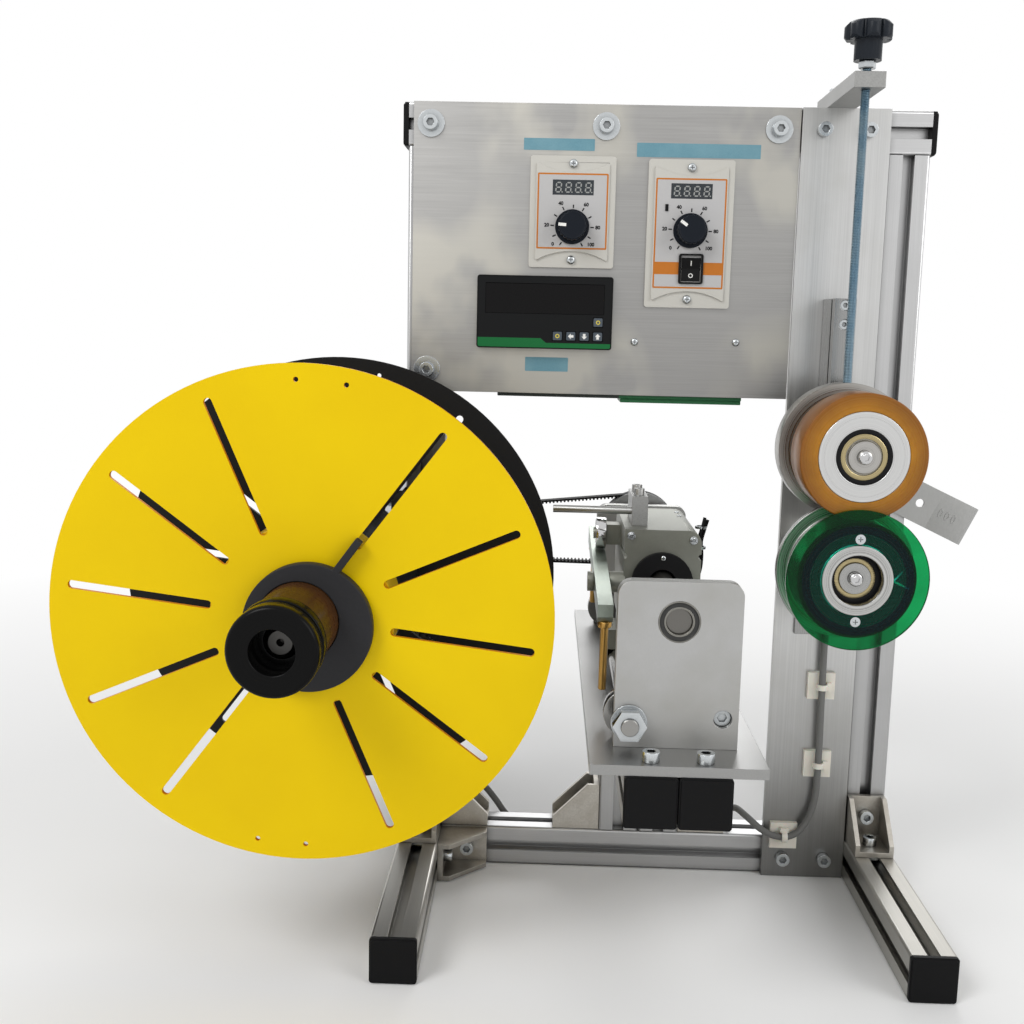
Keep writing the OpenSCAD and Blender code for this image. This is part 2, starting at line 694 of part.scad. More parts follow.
// Control panel and its devices
meter_mid = [meter_box[0] + meter_box[2] / 2, meter_box[1] + meter_box[3] / 2];
function box_mid(b) = [b[0] + b[2] / 2, b[1] + b[3] / 2];
speed_back = [unit_back[0], unit_back[1]];
torque_back = [unit_back[0], torque_box[3] - 14];
module control_panel() {
    color("lightsteelblue") in_xz(face_y, 0) difference() {
        translate([panel_x, panel_z]) square([panel_w, panel_h]);
        translate(meter_mid) square([meter_back[0] + 2 * clear, meter_back[1] + 2 * clear], center = true);
        translate(box_mid(speed_box)) square(speed_back + [2 * clear, 2 * clear], center = true);
        translate(box_mid(torque_box)) square(torque_back + [2 * clear, 2 * clear], center = true);
        for (x = panel_top_bolt_x) translate([x, top_z]) circle(d = bolt_hole_d);
        translate([left_x, panel_low_bolt_z]) circle(d = bolt_hole_d);
    }
}
key_places = [[key_x0, key_z], [key_x0 + key_step, key_z], [key_x0 + 2 * key_step, key_z],
    [key_x0 + 3 * key_step, key_z], [key_x0 + 3 * key_step, key_reset_z]];
meter_front = face_y - meter_face_t;
module meter_body() {
    color("#121416") {
        difference() {
            in_xz(meter_front, face_y) translate(meter_mid) round_rect(meter_box[2], meter_box[3], 2);
            for (k = key_places) in_xz(meter_front - 1, meter_front + key_pocket) translate(k)
                square([key_w + 2 * clear, key_h + 2 * clear], center = true);
            // Display window, sunk in the face
            in_xz(meter_front - 1, meter_front + 1) translate(meter_mid + [0, display_up])
                square([display_w, display_h], center = true);
        }
        in_xz(face_y, meter_back[2]) translate(meter_mid)
            square([meter_back[0], meter_back[1]], center = true);
    }
}
module key_cap(i) {
    color("#8d959b") in_xz(meter_front - key_proud, meter_front + key_depth) translate(key_places[i])
        round_rect(key_w, key_h, 0.8);
}
// Speed or torque unit: ivory plate, raised face with notches round its two screws, housing behind
module unit_body(b, back, knob) {
    face_margin = 4.5;
    notch_deep = 7;
    notch_half = b[2] / 2 - face_margin;
    notch_r = (notch_half ^ 2 + notch_deep ^ 2) / (2 * notch_deep);
    notch_up = b[3] / 2 - face_margin - notch_deep + notch_r;
    difference() {
        union() {
            in_xz(face_y - unit_t, face_y) translate(box_mid(b)) round_rect(b[2], b[3], 2);
            in_xz(unit_front, face_y - unit_t) difference() {
                translate(box_mid(b)) round_rect(b[2] - 2 * face_margin, b[3] - 2 * face_margin, 2);
                for (s = [-1, 1]) translate(box_mid(b) + [0, s * notch_up]) circle(notch_r, $fn = 128);
            }
            in_xz(face_y, unit_back[2]) translate(box_mid(b)) square(back, center = true);
        }
        rod_y(knob[0], knob[1], unit_front - 1, unit_front + 10, knob_stem_d + 2 * run_fit);
        in_xz(unit_front - 1, unit_front + window_sink) translate(knob + [0, window_up])
            square([window_w, window_h], center = true);
    }
}
module speed_controller() {
    color("ivory") unit_body(speed_box, speed_back, speed_knob_at);
}
bezel_t = 1.5;
rocker_y = unit_front + 1;
rocker_dip = 1.8;
rocker_back = 2.5;
rocker_bevel = 0.7;
rocker_reach = sqrt(rocker_half ^ 2 + rocker_lip ^ 2);
rocker_pin_out = 1.2;
module torque_controller() {
    color("ivory") difference() {
        union() {
            unit_body(torque_box, torque_back, torque_knob_at);
            in_xz(unit_front - bezel_t, unit_front) translate(rocker_at) round_rect(bezel_w, bezel_h, 1.5);
        }
        in_xz(unit_front - bezel_t - 1, rocker_y + rocker_back + 2) translate(rocker_at)
            square([rocker_w + 2 * clear, 2 * (rocker_reach + clear)], center = true);
        translate([rocker_at[0] - rocker_w / 2 - rocker_pin_out - clear, rocker_y, rocker_at[1]])
            rotate(to_right)
                cylinder(d = rocker_pin_d + 2 * run_fit, h = rocker_w + 2 * (rocker_pin_out + clear));
    }
}
module rocker() {
    color("#17181a") translate([rocker_at[0], rocker_y, rocker_at[1]]) rotate([rocker_tilt, 0, 0]) {
        in_yz(-rocker_w / 2, rocker_w / 2) polygon([
            [-rocker_lip, rocker_half], [-rocker_lip + rocker_dip, 0], [-rocker_lip, -rocker_half],
            [rocker_back, -rocker_half + rocker_bevel], [rocker_back, rocker_half - rocker_bevel]]);
        translate([-rocker_w / 2 - rocker_pin_out, 0, 0]) rotate(to_right)
            cylinder(d = rocker_pin_d, h = rocker_w + 2 * rocker_pin_out);
    }
}
// Fluted control knob on a skirt, its stem in the unit
module control_knob(at) {
    flutes = 20;
    flute = 0.7;
    skirt_t = 2;
    stem = 9;
    body_r = knob_d / 2 - 2;
    color("#1a1b1d") translate([at[0], unit_front - clear, at[1]]) rotate(to_front) {
        cylinder(d = knob_d, h = skirt_t);
        linear_extrude(knob_h) polygon([for (i = [0:2 * flutes - 1])
            polar([0, 0], body_r - flute * (i % 2), 180 / flutes * i)]);
        translate([0, 0, -stem]) cylinder(d = knob_stem_d, h = stem + 1);
    }
}
module speed_knob() {
    control_knob(speed_knob_at);
}
module torque_knob() {
    control_knob(torque_knob_at);
}
driver_x = [for (x = [62.2, 151.2, 238.2]) panel_x + x * spread];
board_t = 2.5;
board_h = 31.5;
driver_depth = 36;
driver_h = 55.5;
driver_drop = [2.5, 5.5];
module driver_module() {
    color("#2f7d4a") {
        translate([driver_x[0], 0, panel_z - driver_drop[0]])
            cube([driver_x[2] - driver_x[0], board_t, board_h]);
        translate([driver_x[1], board_t, panel_z - driver_drop[1]])
            cube([driver_x[2] - driver_x[1], driver_depth - board_t, driver_h]);
    }
}

// Guide plate with the slide rail, the pressure screw and the metering axle
rail_screw_z = [rail_z1 - 4.5, rail_z1 - 17.5, rail_z0 + 8];
rail_sink = 5;
rail_neck = 5.5;
groove_lo = rail_y + 7;
groove_hi = rail_y + 11;
module guide_plate() {
    color("silver") in_xz(plate_y, 0) difference() {
        translate([guide_x, 0]) square([guide_w, frame_h]);
        for (x = guide_bolt_x, z = [half, top_z]) translate([x, z]) circle(d = bolt_hole_d);
    }
}
module slide_rail() {
    color("gainsboro") difference() {
        box([rail_x - rail_w / 2, rail_y, rail_z0], [rail_x + rail_w / 2, plate_y, rail_z1]);
        box([rail_x - rail_w, groove_lo, rail_z0 - 1], [rail_x - rail_neck, groove_hi, rail_z1 + 1]);
        box([rail_x + rail_neck, groove_lo, rail_z0 - 1], [rail_x + rail_w, groove_hi, rail_z1 + 1]);
        for (z = rail_screw_z) rod_y(rail_x, z, rail_y - 1, rail_y + rail_sink, rail_head_d + 2 * run_fit);
    }
}
module screw_bracket() {
    color("darkgray") difference() {
        box([roller_x - bracket_bar_w / 2, bracket_bar_y0, frame_h],
            [roller_x + bracket_bar_w / 2, profile_w, frame_h + bracket_bar_t]);
        translate([roller_x, screw_y, frame_h - 1])
            cylinder(d = screw_d + 2 * run_fit, h = bracket_bar_t + 2);
        translate([roller_x, bar_y, frame_h - 1]) cylinder(d = bolt_hole_d, h = bracket_bar_t + 2);
    }
}
// Turned axle seen from the front: end washer with its screw socket, bearing seat, shoulder, root
module stub_axle(y_end, y_shoulder, y_root) {
    shoulder_d = axle_d + 5;
    head_d = 8.4;
    head_h = 1.8;
    difference() {
        union() {
            translate([0, 0, y_end]) cylinder(d = shoulder_d, h = axle_cap_t);
            translate([0, 0, y_end]) cylinder(d = axle_d, h = y_shoulder - y_end);
            translate([0, 0, y_shoulder]) cylinder(d = shoulder_d, h = y_root - y_shoulder);
            translate([0, 0, y_end - head_h]) cylinder(d = head_d, h = head_h + 1);
        }
        translate([0, 0, y_end - head_h - 1]) cylinder(d = head_d * 0.55, h = head_h + 0.8, $fn = 6);
    }
}
axle_root_y = -80;
axle_root_d = 40;
module metering_axle() {
    color("gray") on_y(roller_x, meter_z) {
        stub_axle(meter_bearing_y[0] - axle_cap_t, meter_bearing_y[1] + meter_bearing_w, axle_root_y);
        translate([0, 0, axle_root_y]) cylinder(d = axle_root_d, h = plate_y - axle_root_y);
    }
}
sensor_wall = 3;
sensor_foot_x = [roller_x - 12.5, roller_x + 3.5];
sensor_plate_y = -62;
sensor_tail_d = 8;
sensor_tail = 8;
sensor_nut_d = 17;
sensor_nut_t = 4;
sensor_shelf_z = sensor_at[1] - 21;
sensor_foot_z = sensor_at[1] - 36;
module meter_sensor() {
    color("silver") {
        on_y(sensor_at[0], sensor_at[1]) {
            translate([0, 0, sensor_y0]) cylinder(d = sensor_d, h = sensor_y1 - sensor_y0);
            translate([0, 0, sensor_y1]) cylinder(d = sensor_tail_d, h = sensor_tail);
            for (y = [sensor_plate_y - sensor_nut_t, sensor_plate_y + sensor_wall]) translate([0, 0, y])
                cylinder(d = sensor_nut_d, h = sensor_nut_t, $fn = 6);
        }
        // Bracket: plate round the barrel, shelf beside the cable, foot on the guide plate
        box([sensor_foot_x[0], sensor_plate_y, sensor_shelf_z],
            [sensor_at[0] + sensor_d, sensor_plate_y + sensor_wall, sensor_at[1] + sensor_tail_d]);
        box([sensor_foot_x[0], sensor_plate_y, sensor_shelf_z],
            [sensor_foot_x[1], plate_y, sensor_shelf_z + sensor_wall]);
        box([sensor_foot_x[0], plate_y - sensor_wall, sensor_foot_z],
            [sensor_foot_x[1], plate_y, sensor_shelf_z + sensor_wall]);
    }
}
// Swept cable: one ring of points per route point
cable_sides = 8;
cable_ref = [1, -1, 1];
function unit(v) = v / norm(v);
function heading(p, i) = unit(p[min(i + 1, len(p) - 1)] - p[max(i - 1, 0)]);
module swept_tube(p, d) {
    n = len(p);
    m = cable_sides;
    pts = [for (i = [0:n - 1]) let (t = heading(p, i), u = unit(cross(t, cable_ref)), v = cross(t, u))
        for (k = [0:m - 1]) p[i] + d / 2 * (u * cos(360 * k / m) + v * sin(360 * k / m))];
    sides = [for (i = [0:n - 2], k = [0:m - 1], h = [0, 1]) let (a = i * m + k, b = i * m + (k + 1) % m)
        h == 0 ? [a, b, a + m] : [b, b + m, a + m]];
    near_end = [for (k = [m - 1:-1:0]) k];
    far_end = [for (k = [0:m - 1]) (n - 1) * m + k];
    polyhedron(pts, concat([near_end], sides, [far_end]));
}
module sensor_cable() {
    color("dimgray") swept_tube(cable_route, cable_d);
}
// Adhesive mount facing +Z with the cable along Y above it, held by a tie
module cable_mount() {
    tie_w = 4;
    tie_t = 1.3;
    tie_bore_d = cable_d + 2 * clear;
    head = [3.5, 6, 3.5];
    translate([-mount_w / 2, -mount_w / 2, 0]) cube([mount_w, mount_w, mount_t]);
    translate([0, -tie_w / 2, mount_t + tie_bore_d / 2]) rotate(to_back)
        ring(tie_bore_d + 2 * tie_t, tie_bore_d, tie_w);
    translate([tie_bore_d / 2 + tie_t / 2, -head[1] / 2, mount_t]) cube(head);
}
module cable_mounts() {
    color("ivory") {
        for (i = [0:1]) translate([mounts_at[i][0], plate_y, mounts_at[i][1]]) rotate(to_front) cable_mount();
        translate([mounts_at[2][0], plate_y, mounts_at[2][1]]) rotate(to_front) rotate(90) cable_mount();
        for (z = back_mount_z) translate([left_x, profile_w, z]) rotate(to_back) cable_mount();
        for (x = bar_mount_x) translate([x, profile_w, half]) rotate(to_back) rotate(90) cable_mount();
    }
}
// Bent strip: flat on the upright, wing bent forward, lip bent back
function turn(v, a) = [v[0] * cos(a) - v[1] * sin(a), v[0] * sin(a) + v[1] * cos(a)];
module guide_strip() {
    p0 = [strip_flat, 0];
    p1 = p0 + turn([strip_wing, 0], -strip_bend);
    p2 = p1 + turn([strip_lip, 0], -strip_lip_angle);
    n1 = turn([0, -strip_t], -strip_bend / 2) / cos(strip_bend / 2);
    lip_mid = (-strip_bend - strip_lip_angle) / 2;
    n2 = turn([0, -strip_t], lip_mid) / cos(lip_mid + strip_bend);
    n3 = turn([0, -strip_t], -strip_lip_angle);
    color("silver") translate([strip_at[0], 0, strip_at[1]]) rotate([0, -strip_angle, 0]) difference() {
        translate([0, 0, -strip_w / 2]) linear_extrude(strip_w)
            polygon([[-strip_back, 0], p0, p1, p2, p2 + n3, p1 + n2, p0 + n1, [-strip_back, -strip_t]]);
        rod_y(0, 0, -strip_t - 1, 1, bolt_hole_d);
        rod_y(strip_hole_at, 0, -strip_t - 1, 1, strip_hole_d);
    }
}

// Reel drive behind the discs
belt_window = [belt_y - 6, belt_y + pulley_w + 4, reel_z - 26, reel_z + 29];
module drive_housing() {
    color("darkgray") difference() {
        union() {
            box([-housing_wall, -20, side_z0], [0, motor_y, side_z1]);
            for (y = [[housing_y0, housing_y1], [motor_plate_y, motor_y]])
                box([reel_x - housing_half, y[0], reel_z - housing_half],
                    [-housing_wall, y[1], reel_z + housing_half]);
        }
        box([-housing_wall - 1, belt_window[0], belt_window[2]], [1, belt_window[1], belt_window[3]]);
        rod_y(reel_x, reel_z, housing_y0 - 1, motor_y + 1, reel_shaft_d + 5);
        rod_y(reel_x, reel_z, housing_y0 - 1, housing_y0 + reel_bearing_w, reel_bearing_d + 2 * run_fit);
        rod_y(reel_x, reel_z, housing_y1 - reel_bearing_w, housing_y1 + 1, reel_bearing_d + 2 * run_fit);
        for (z = side_bolt_z) translate([-housing_wall - 1, bar_y, z]) rotate(to_right)
            cylinder(d = bolt_hole_d, h = housing_wall + 2);
    }
}
module gear_motor() {
    color("#2b2d30") difference() {
        union() {
            in_xz(motor_y, motor_y + gearbox_len) translate([reel_x, reel_z])
                round_rect(2 * housing_half, 2 * housing_half, 5);
            rod_y(reel_x, reel_z, motor_y + gearbox_len, motor_end, motor_d);
        }
        rod_y(reel_x, reel_z, motor_y - 1, motor_y + 38, reel_shaft_d + 2 * run_fit);
    }
}

// Reel
module reel_shaft() {
    tip = 5;
    color("gray") on_y(reel_x, reel_z) difference() {
        rotate_extrude() polygon([[0, shaft_end_y], [reel_shaft_d / 2 - 3, shaft_end_y],
            [reel_shaft_d / 2, shaft_end_y + tip], [reel_shaft_d / 2, motor_y + 37], [0, motor_y + 37]]);
        translate([0, 0, shaft_end_y - 1]) cylinder(d = 4, h = 9);
    }
}
reel_bore_d = reel_shaft_d + 2 * run_fit;
module mandrel() {
    wall = 4;
    web = 12;
    color("#4a3a2c") on_y(reel_x, reel_z) difference() {
        union() {
            translate([0, 0, mandrel_y0]) cylinder(d = mandrel_d, h = mandrel_y1 - mandrel_y0);
            translate([0, 0, mandrel_y1 - mandrel_flange_t])
                cylinder(d = mandrel_flange_d, h = mandrel_flange_t);
        }
        translate([0, 0, mandrel_y0 - 1]) cylinder(d = reel_bore_d, h = mandrel_y1 - mandrel_y0 + 2);
        translate([0, 0, mandrel_y0 + web])
            cylinder(d = mandrel_d - 2 * wall, h = mandrel_y1 - mandrel_y0 - 2 * web);
    }
}
// Turned cap with rounded rims, a groove round it and an open recess
module mandrel_cap() {
    rim_r = 3;
    groove_y = [11, 14];
    groove_r = cap_d / 2 - 2;
    rim_x = cap_d / 2 - rim_r;
    len = mandrel_y0 - cap_y0;
    color("#222326") on_y(reel_x, reel_z) translate([0, 0, cap_y0]) rotate_extrude() polygon([
        [cap_recess_d / 2, 0],
        for (a = [-90:15:0]) [rim_x + rim_r * cos(a), rim_r + rim_r * sin(a)],
        [cap_d / 2, groove_y[0]], [groove_r, groove_y[0]], [groove_r, groove_y[1]], [cap_d / 2, groove_y[1]],
        for (a = [0:15:90]) [rim_x + rim_r * cos(a), len - rim_r + rim_r * sin(a)],
        [cap_recess_d / 2, len]]);
}
module flange_shape(bore) {
    difference() {
        circle(d = flange_d, $fn = 128);
        circle(d = bore);
        for (a = slot_angles) rotate(a) {
            translate([slot_r0, -flange_slot_w / 2]) square([slot_r1 - slot_r0, flange_slot_w]);
            for (r = [slot_r0, slot_r1]) translate([r, 0]) circle(d = flange_slot_w);
        }
        for (a = rim_hole_angles) rotate(a) translate([flange_d / 2 - 9.5, 0]) circle(d = rim_hole_d);
    }
}
rim_hole_angles = [79, 91, 259, 271];
module rear_flange() {
    color("#202022") in_xz(rear_flange_y, rear_flange_y + flange_t) translate([reel_x, reel_z])
        flange_shape(mandrel_d + 2 * run_fit);
}
module reel_core() {
    wall = 3;
    color("gold") on_y(reel_x, reel_z) translate([0, 0, rear_flange_y - reel_w + clear])
        ring(core_d, core_d - 2 * wall, reel_w - clear);
}
module front_flange() {
    color("gold") in_xz(front_flange_y, front_flange_y + flange_t) translate([reel_x, reel_z])
        flange_shape(slide_bore_d);
}
collar_arm_w = 4.5;
collar_arm_len = 60;
collar_arm_angle = 54;
module lock_collar() {
    color("#4c4d50") in_xz(collar_y, collar_y + collar_t) translate([reel_x, reel_z]) difference() {
        union() {
            translate(collar_shift) circle(d = collar_d);
            rotate(collar_arm_angle) translate([0, -collar_arm_w / 2]) square([collar_arm_len, collar_arm_w]);
        }
        circle(d = slide_bore_d);
    }
}
module reel_pulley() {
    color("silver") on_y(reel_x, reel_z) pulley(reel_teeth, reel_or, reel_bore_d);
}

// Traverse shaft and carriage
module traverse_shaft() {
    color("silver") rod_y(shaft_x, shaft_z, front_plate_y + shaft_sink, belt_y + pulley_w + 5, shaft_d);
}
module traverse_pulley() {
    color("silver") on_y(shaft_x, shaft_z) pulley(traverse_teeth, traverse_or, shaft_bore_d);
}
carriage_y1 = carriage_y + carriage_len;
carriage_top = shaft_z + carriage_h / 2;
carriage_left = shaft_x - carriage_w / 2;
lever_x = [stop_x - 17.5, stop_x - 8];
lever_pivot = [carriage_y + 5, shaft_z - 1.5];
lever_h = 12;
lever_ends = [-65, 116];
lever_pin_d = 8;
follower_d = 22;
follower_w = 7;
follower_bore_d = 8;
follower_from = 55;
follower_y = lever_pivot[0] + follower_from;
follower_z = lever_pivot[1] + follower_from * tan(lever_tilt)
    + (lever_h / 2 + follower_d / 2 + clear) / cos(lever_tilt);
follower_x = [lever_x[1] - follower_w, lever_x[1]];
ring_d = 38;
ring_w = 9;
ring_tilt = 10;
ring_bore_d = shaft_d + 6;
seal_d = 40;
seal_t = 4;
ring_cavity_d = ring_d * cos(ring_tilt) + ring_w * sin(ring_tilt) + 2 * clear;
end_wall = 6;
fork_x = [stop_x - 8, stop_x + 8];
fork_z = [stop_z - 8, stop_z + 19];
fork_y = [carriage_y + 30, carriage_y + 65];
fork_root_z = shaft_z - carriage_h / 2 + 8;
stud_head_d = 13;
stud_head_h = 4;
stud_boss_d = 14;
follower_block = 7;
stud_end = 1.5;
notch_d = 4;
notch_up = 17;
end_bore_d = shaft_d + 5;
module carriage_housing() {
    shoulder = 9;
    fork_gap = stop_rod_d / 2 + clear;
    color("#5a5a4c") difference() {
        union() {
            in_xz(carriage_y, carriage_y1) difference() {
                translate([carriage_left, shaft_z - carriage_h / 2]) square([carriage_w, carriage_h]);
                for (s = [-1, 1]) translate([shaft_x + s * carriage_w / 2, shaft_z + notch_up])
                    circle(d = notch_d);
                translate([shaft_x + carriage_w / 2 - shoulder, carriage_top - shoulder]) difference() {
                    square(shoulder + 1);
                    circle(shoulder);
                }
            }
            // Fork over the stop rod, which keeps the carriage from turning
            in_xz(fork_y[0], fork_y[1]) polygon([[fork_x[0], fork_z[0]], [stop_x - fork_gap, fork_z[0]],
                [stop_x - fork_gap, stop_z + fork_gap], [stop_x + fork_gap, stop_z + fork_gap],
                [stop_x + fork_gap, fork_z[0]], [fork_x[1], fork_z[0]], [fork_x[1], fork_root_z],
                [carriage_left, fork_root_z], [carriage_left, fork_z[1]], [fork_x[0], fork_z[1]]]);
            // Pivot stud of the lever and stud of the follower
            translate([lever_x[0] - clear - stud_head_h, lever_pivot[0], lever_pivot[1]]) rotate(to_right) {
                cylinder(d = stud_head_d, h = stud_head_h);
                cylinder(d = lever_pin_d, h = carriage_left - lever_x[0] + clear + stud_head_h + 1);
                translate([0, 0, lever_x[1] - lever_x[0] + 2 * clear + stud_head_h])
                    cylinder(d = stud_boss_d, h = carriage_left - lever_x[1] - clear + 1);
            }
            translate([follower_x[0] - stud_end, follower_y, follower_z]) rotate(to_right)
                cylinder(d = follower_bore_d, h = carriage_left - follower_x[0] + stud_end + 1);
            box([follower_x[1] + clear, follower_y - follower_block, follower_z - follower_block],
                [carriage_left + 1, follower_y + follower_block, follower_z + follower_block]);
        }
        rod_y(shaft_x, shaft_z, carriage_y - 1, carriage_y1 + 1, end_bore_d);
        rod_y(shaft_x, shaft_z, carriage_y + end_wall, carriage_y1 - end_wall, ring_cavity_d);
    }
}
module rolling_rings() {
    color("#2a2a2c") {
        for (i = [0:2]) translate([shaft_x, carriage_y + carriage_len * (0.25 + 0.25 * i), shaft_z])
            rotate([0, 0, ring_tilt * (i % 2 == 0 ? 1 : -1)]) rotate(to_back) translate([0, 0, -ring_w / 2])
                ring(ring_d, ring_bore_d, ring_w);
        on_y(shaft_x, shaft_z) translate([0, 0, carriage_y - seal_t]) ring(seal_d, end_bore_d - 2, seal_t);
    }
}
clamp_x = [shaft_x - 20, shaft_x - 9.5];
clamp_h = 19.5;
clamp_y = [carriage_y + 15, carriage_y + 55];
rod_y_at = clamp_y[0] + 6;
rod_z_at = carriage_top + clamp_h / 2 - 0.5;
module guide_arm() {
    color("darkgray") {
        box([clamp_x[0], clamp_y[0], carriage_top], [clamp_x[1], clamp_y[1], carriage_top + clamp_h]);
        translate([clamp_x[0] - guide_rod_len, rod_y_at, rod_z_at]) rotate(to_right)
            cylinder(d = guide_rod_d, h = guide_rod_len + 5);
        for (y = [clamp_y[0] + 12, clamp_y[1] - 8])
            translate([(clamp_x[0] + clamp_x[1]) / 2, y, carriage_top + clamp_h]) difference() {
                cylinder(d = rail_head_d, h = rail_head_h);
                translate([0, 0, rail_head_h / 2]) cylinder(d = rail_head_d / 2, h = rail_head_h, $fn = 6);
            }
    }
}
module follower_bearing() {
    color("silver") translate([follower_x[0], follower_y, follower_z]) rotate(to_right)
        ball_bearing(follower_d, follower_bore_d + 2 * run_fit, follower_w);
}
// Lever and its striker pins are drawn level with the pivot at the origin, then tilted
module at_lever() translate([0, lever_pivot[0], lever_pivot[1]]) rotate([lever_tilt, 0, 0]) children();
striker_x = (lever_x[0] + lever_x[1]) / 2;
striker_d = 5;
striker_in = 8;
strikers = [[lever_ends[0] + 6, 45], [lever_ends[1] - 8, 45]];
module reversing_lever() {
    color("#8a8f86") at_lever() difference() {
        in_yz(lever_x[0], lever_x[1]) polygon([[lever_ends[0], lever_h / 2], [lever_ends[0], -2],
            [lever_ends[0] + 3, -lever_h / 2], [lever_ends[1], -lever_h / 2], [lever_ends[1], lever_h / 2]]);
        translate([lever_x[0] - 1, 0, 0]) rotate(to_right) cylinder(d = lever_pin_d + 2 * run_fit, h = 20);
        for (s = strikers) translate([striker_x, s[0], -lever_h / 2 - 1])
            cylinder(d = striker_d + 2 * run_fit, h = striker_in + 1);
    }
}
module lever_strikers() {
    color("tan") at_lever() for (s = strikers) translate([striker_x, s[0], -lever_h / 2 - s[1]]) {
        cylinder(d = striker_d, h = s[1] + striker_in);
        translate([0, 0, s[1] - 4]) cylinder(d = striker_d + 4, h = 4);
    }
}

// Pressure slider and rollers
block_z = [roller_z - block_len / 2, roller_z + block_len / 2];
module slide_block() {
    color("silver") difference() {
        box([rail_x - block_w / 2, block_y0, block_z[0]],
            [rail_x + block_w / 2, groove_hi - clear, block_z[1]]);
        box([rail_x - rail_w / 2 - clear, rail_y - clear, block_z[0] - 1],
            [rail_x + rail_w / 2 + clear, groove_lo + clear, block_z[1] + 1]);
        box([rail_x - rail_neck - clear, rail_y, block_z[0] - 1],
            [rail_x + rail_neck + clear, groove_hi, block_z[1] + 1]);
    }
}
roller_bearing_y = [roller_y0 + 1.5, roller_y1 - roller_bearing_w - 1.5];
module roller_carrier() {
    color("silver") difference() {
        on_y(roller_x, roller_z) {
            stub_axle(roller_bearing_y[0] - axle_cap_t, roller_bearing_y[1] + roller_bearing_w, carrier_y0);
            translate([0, 0, carrier_y0]) cylinder(d = carrier_d, h = carrier_y1 - carrier_y0);
            translate([0, 0, carrier_y1]) cylinder(d = axle_root_d, h = block_y0 - carrier_y1);
        }
        translate([roller_x, screw_y, screw_seat_z - clear]) cylinder(d = screw_d + 2 * run_fit, h = 20);
    }
}
module pressure_screw() {
    color("#7f929c") {
        translate([roller_x, screw_y, screw_seat_z])
            cylinder(d = screw_d, h = star_z0 + screw_in - screw_seat_z);
        translate([roller_x, screw_y, knob_nut_z])
            cylinder(d = knob_nut_w * 2 / sqrt(3), h = knob_nut_t, $fn = 6);
    }
}
module star_knob() {
    lobe_d = 9;
    lobes = 7;
    hub_d = 17.5;
    color("#2d3036") translate([roller_x, screw_y, 0]) difference() {
        union() {
            translate([0, 0, knob_nut_z + knob_nut_t])
                cylinder(d = hub_d, h = star_z0 - knob_nut_z - knob_nut_t);
            translate([0, 0, star_z0]) intersection() {
                linear_extrude(star_h) {
                    circle(d = star_d - lobe_d);
                    for (i = [0:lobes - 1]) rotate(360 / lobes * i + 12)
                        translate([star_d / 2 - lobe_d / 2, 0]) circle(d = lobe_d);
                }
                rotate_extrude() polygon([[0, 0], [star_d / 2 - 1.5, 0], [star_d / 2, 2],
                    [star_d / 2, star_h - 4], [star_d / 2 - 3, star_h - 1], [star_d / 2 - 8, star_h],
                    [0, star_h]]);
            }
        }
        translate([0, 0, knob_nut_z])
            cylinder(d = screw_d + 2 * run_fit, h = star_z0 + screw_in + clear - knob_nut_z);
    }
}
module roller_tyre() {
    color("#b07f2c") on_y(roller_x, roller_z) translate([0, 0, roller_y0])
        ring(roller_d, tyre_bond_d, roller_w);
}
module roller_core() {
    color("gainsboro") on_y(roller_x, roller_z) translate([0, 0, roller_y0])
        ring(tyre_bond_d, roller_bearing_d + 2 * run_fit, roller_w);
}
module roller_bearings() {
    color("#3a3b3d") for (y = roller_bearing_y) on_y(roller_x, roller_z) translate([0, 0, y])
        ball_bearing(roller_bearing_d, axle_fit_d, roller_bearing_w);
}
disc_screw_r = 26.5;
disc_screw_d = 6.6;
module metering_wheel() {
    color("darkgray") on_y(roller_x, meter_z) difference() {
        union() {
            translate([0, 0, meter_y0]) cylinder(d = hub_ring_d, h = groove_y0 - meter_y0);
            translate([0, 0, groove_y0]) cylinder(d = groove_d, h = groove_w);
            translate([0, 0, groove_y1]) cylinder(d = meter_d, h = meter_y1 - groove_y1);
        }
        translate([0, 0, meter_y0 - 1])
            cylinder(d = meter_bearing_d + 2 * run_fit, h = meter_y1 - meter_y0 + 2);
    }
}
module metering_disc() {
    color("#1f8a4c") on_y(roller_x, meter_z) translate([0, 0, meter_y0]) difference() {
        ring(meter_d, hub_ring_d + 2 * run_fit, disc_t);
        for (a = [90, 270]) rotate(a) translate([disc_screw_r, 0, -1]) cylinder(d = disc_screw_d, h = 2.2);
    }
}

module at_origin() translate(-origin) children();
at_origin() feet_rails();
at_origin() uprights();
at_origin() cross_bars();
at_origin() bed_beams();
at_origin() end_caps();
at_origin() corner_brackets();
at_origin() fasteners();
at_origin() base_plate();
at_origin() bearing_plates();
at_origin() shaft_bearings();
at_origin() stop_rod();
at_origin() drive_belt();
at_origin() control_panel();
at_origin() meter_body();
at_origin() speed_controller();
at_origin() torque_controller();
at_origin() driver_module();
at_origin() guide_plate();
at_origin() slide_rail();
at_origin() screw_bracket();
at_origin() metering_axle();
at_origin() meter_sensor();
at_origin() sensor_cable();
at_origin() cable_mounts();
at_origin() guide_strip();
at_origin() drive_housing();
at_origin() gear_motor();
at_origin() reel_shaft();
at_origin() mandrel();
at_origin() mandrel_cap();
at_origin() rear_flange();
at_origin() reel_core();
at_origin() reel_pulley();
at_origin() front_flange();
at_origin() lock_collar();
at_origin() traverse_shaft();
at_origin() traverse_pulley();
at_origin() carriage_housing();
at_origin() rolling_rings();
at_origin() guide_arm();
at_origin() follower_bearing();
at_origin() reversing_lever();
at_origin() lever_strikers();
at_origin() slide_block();
at_origin() roller_carrier();
at_origin() pressure_screw();
at_origin() star_knob();
at_origin() roller_tyre();
at_origin() roller_core();
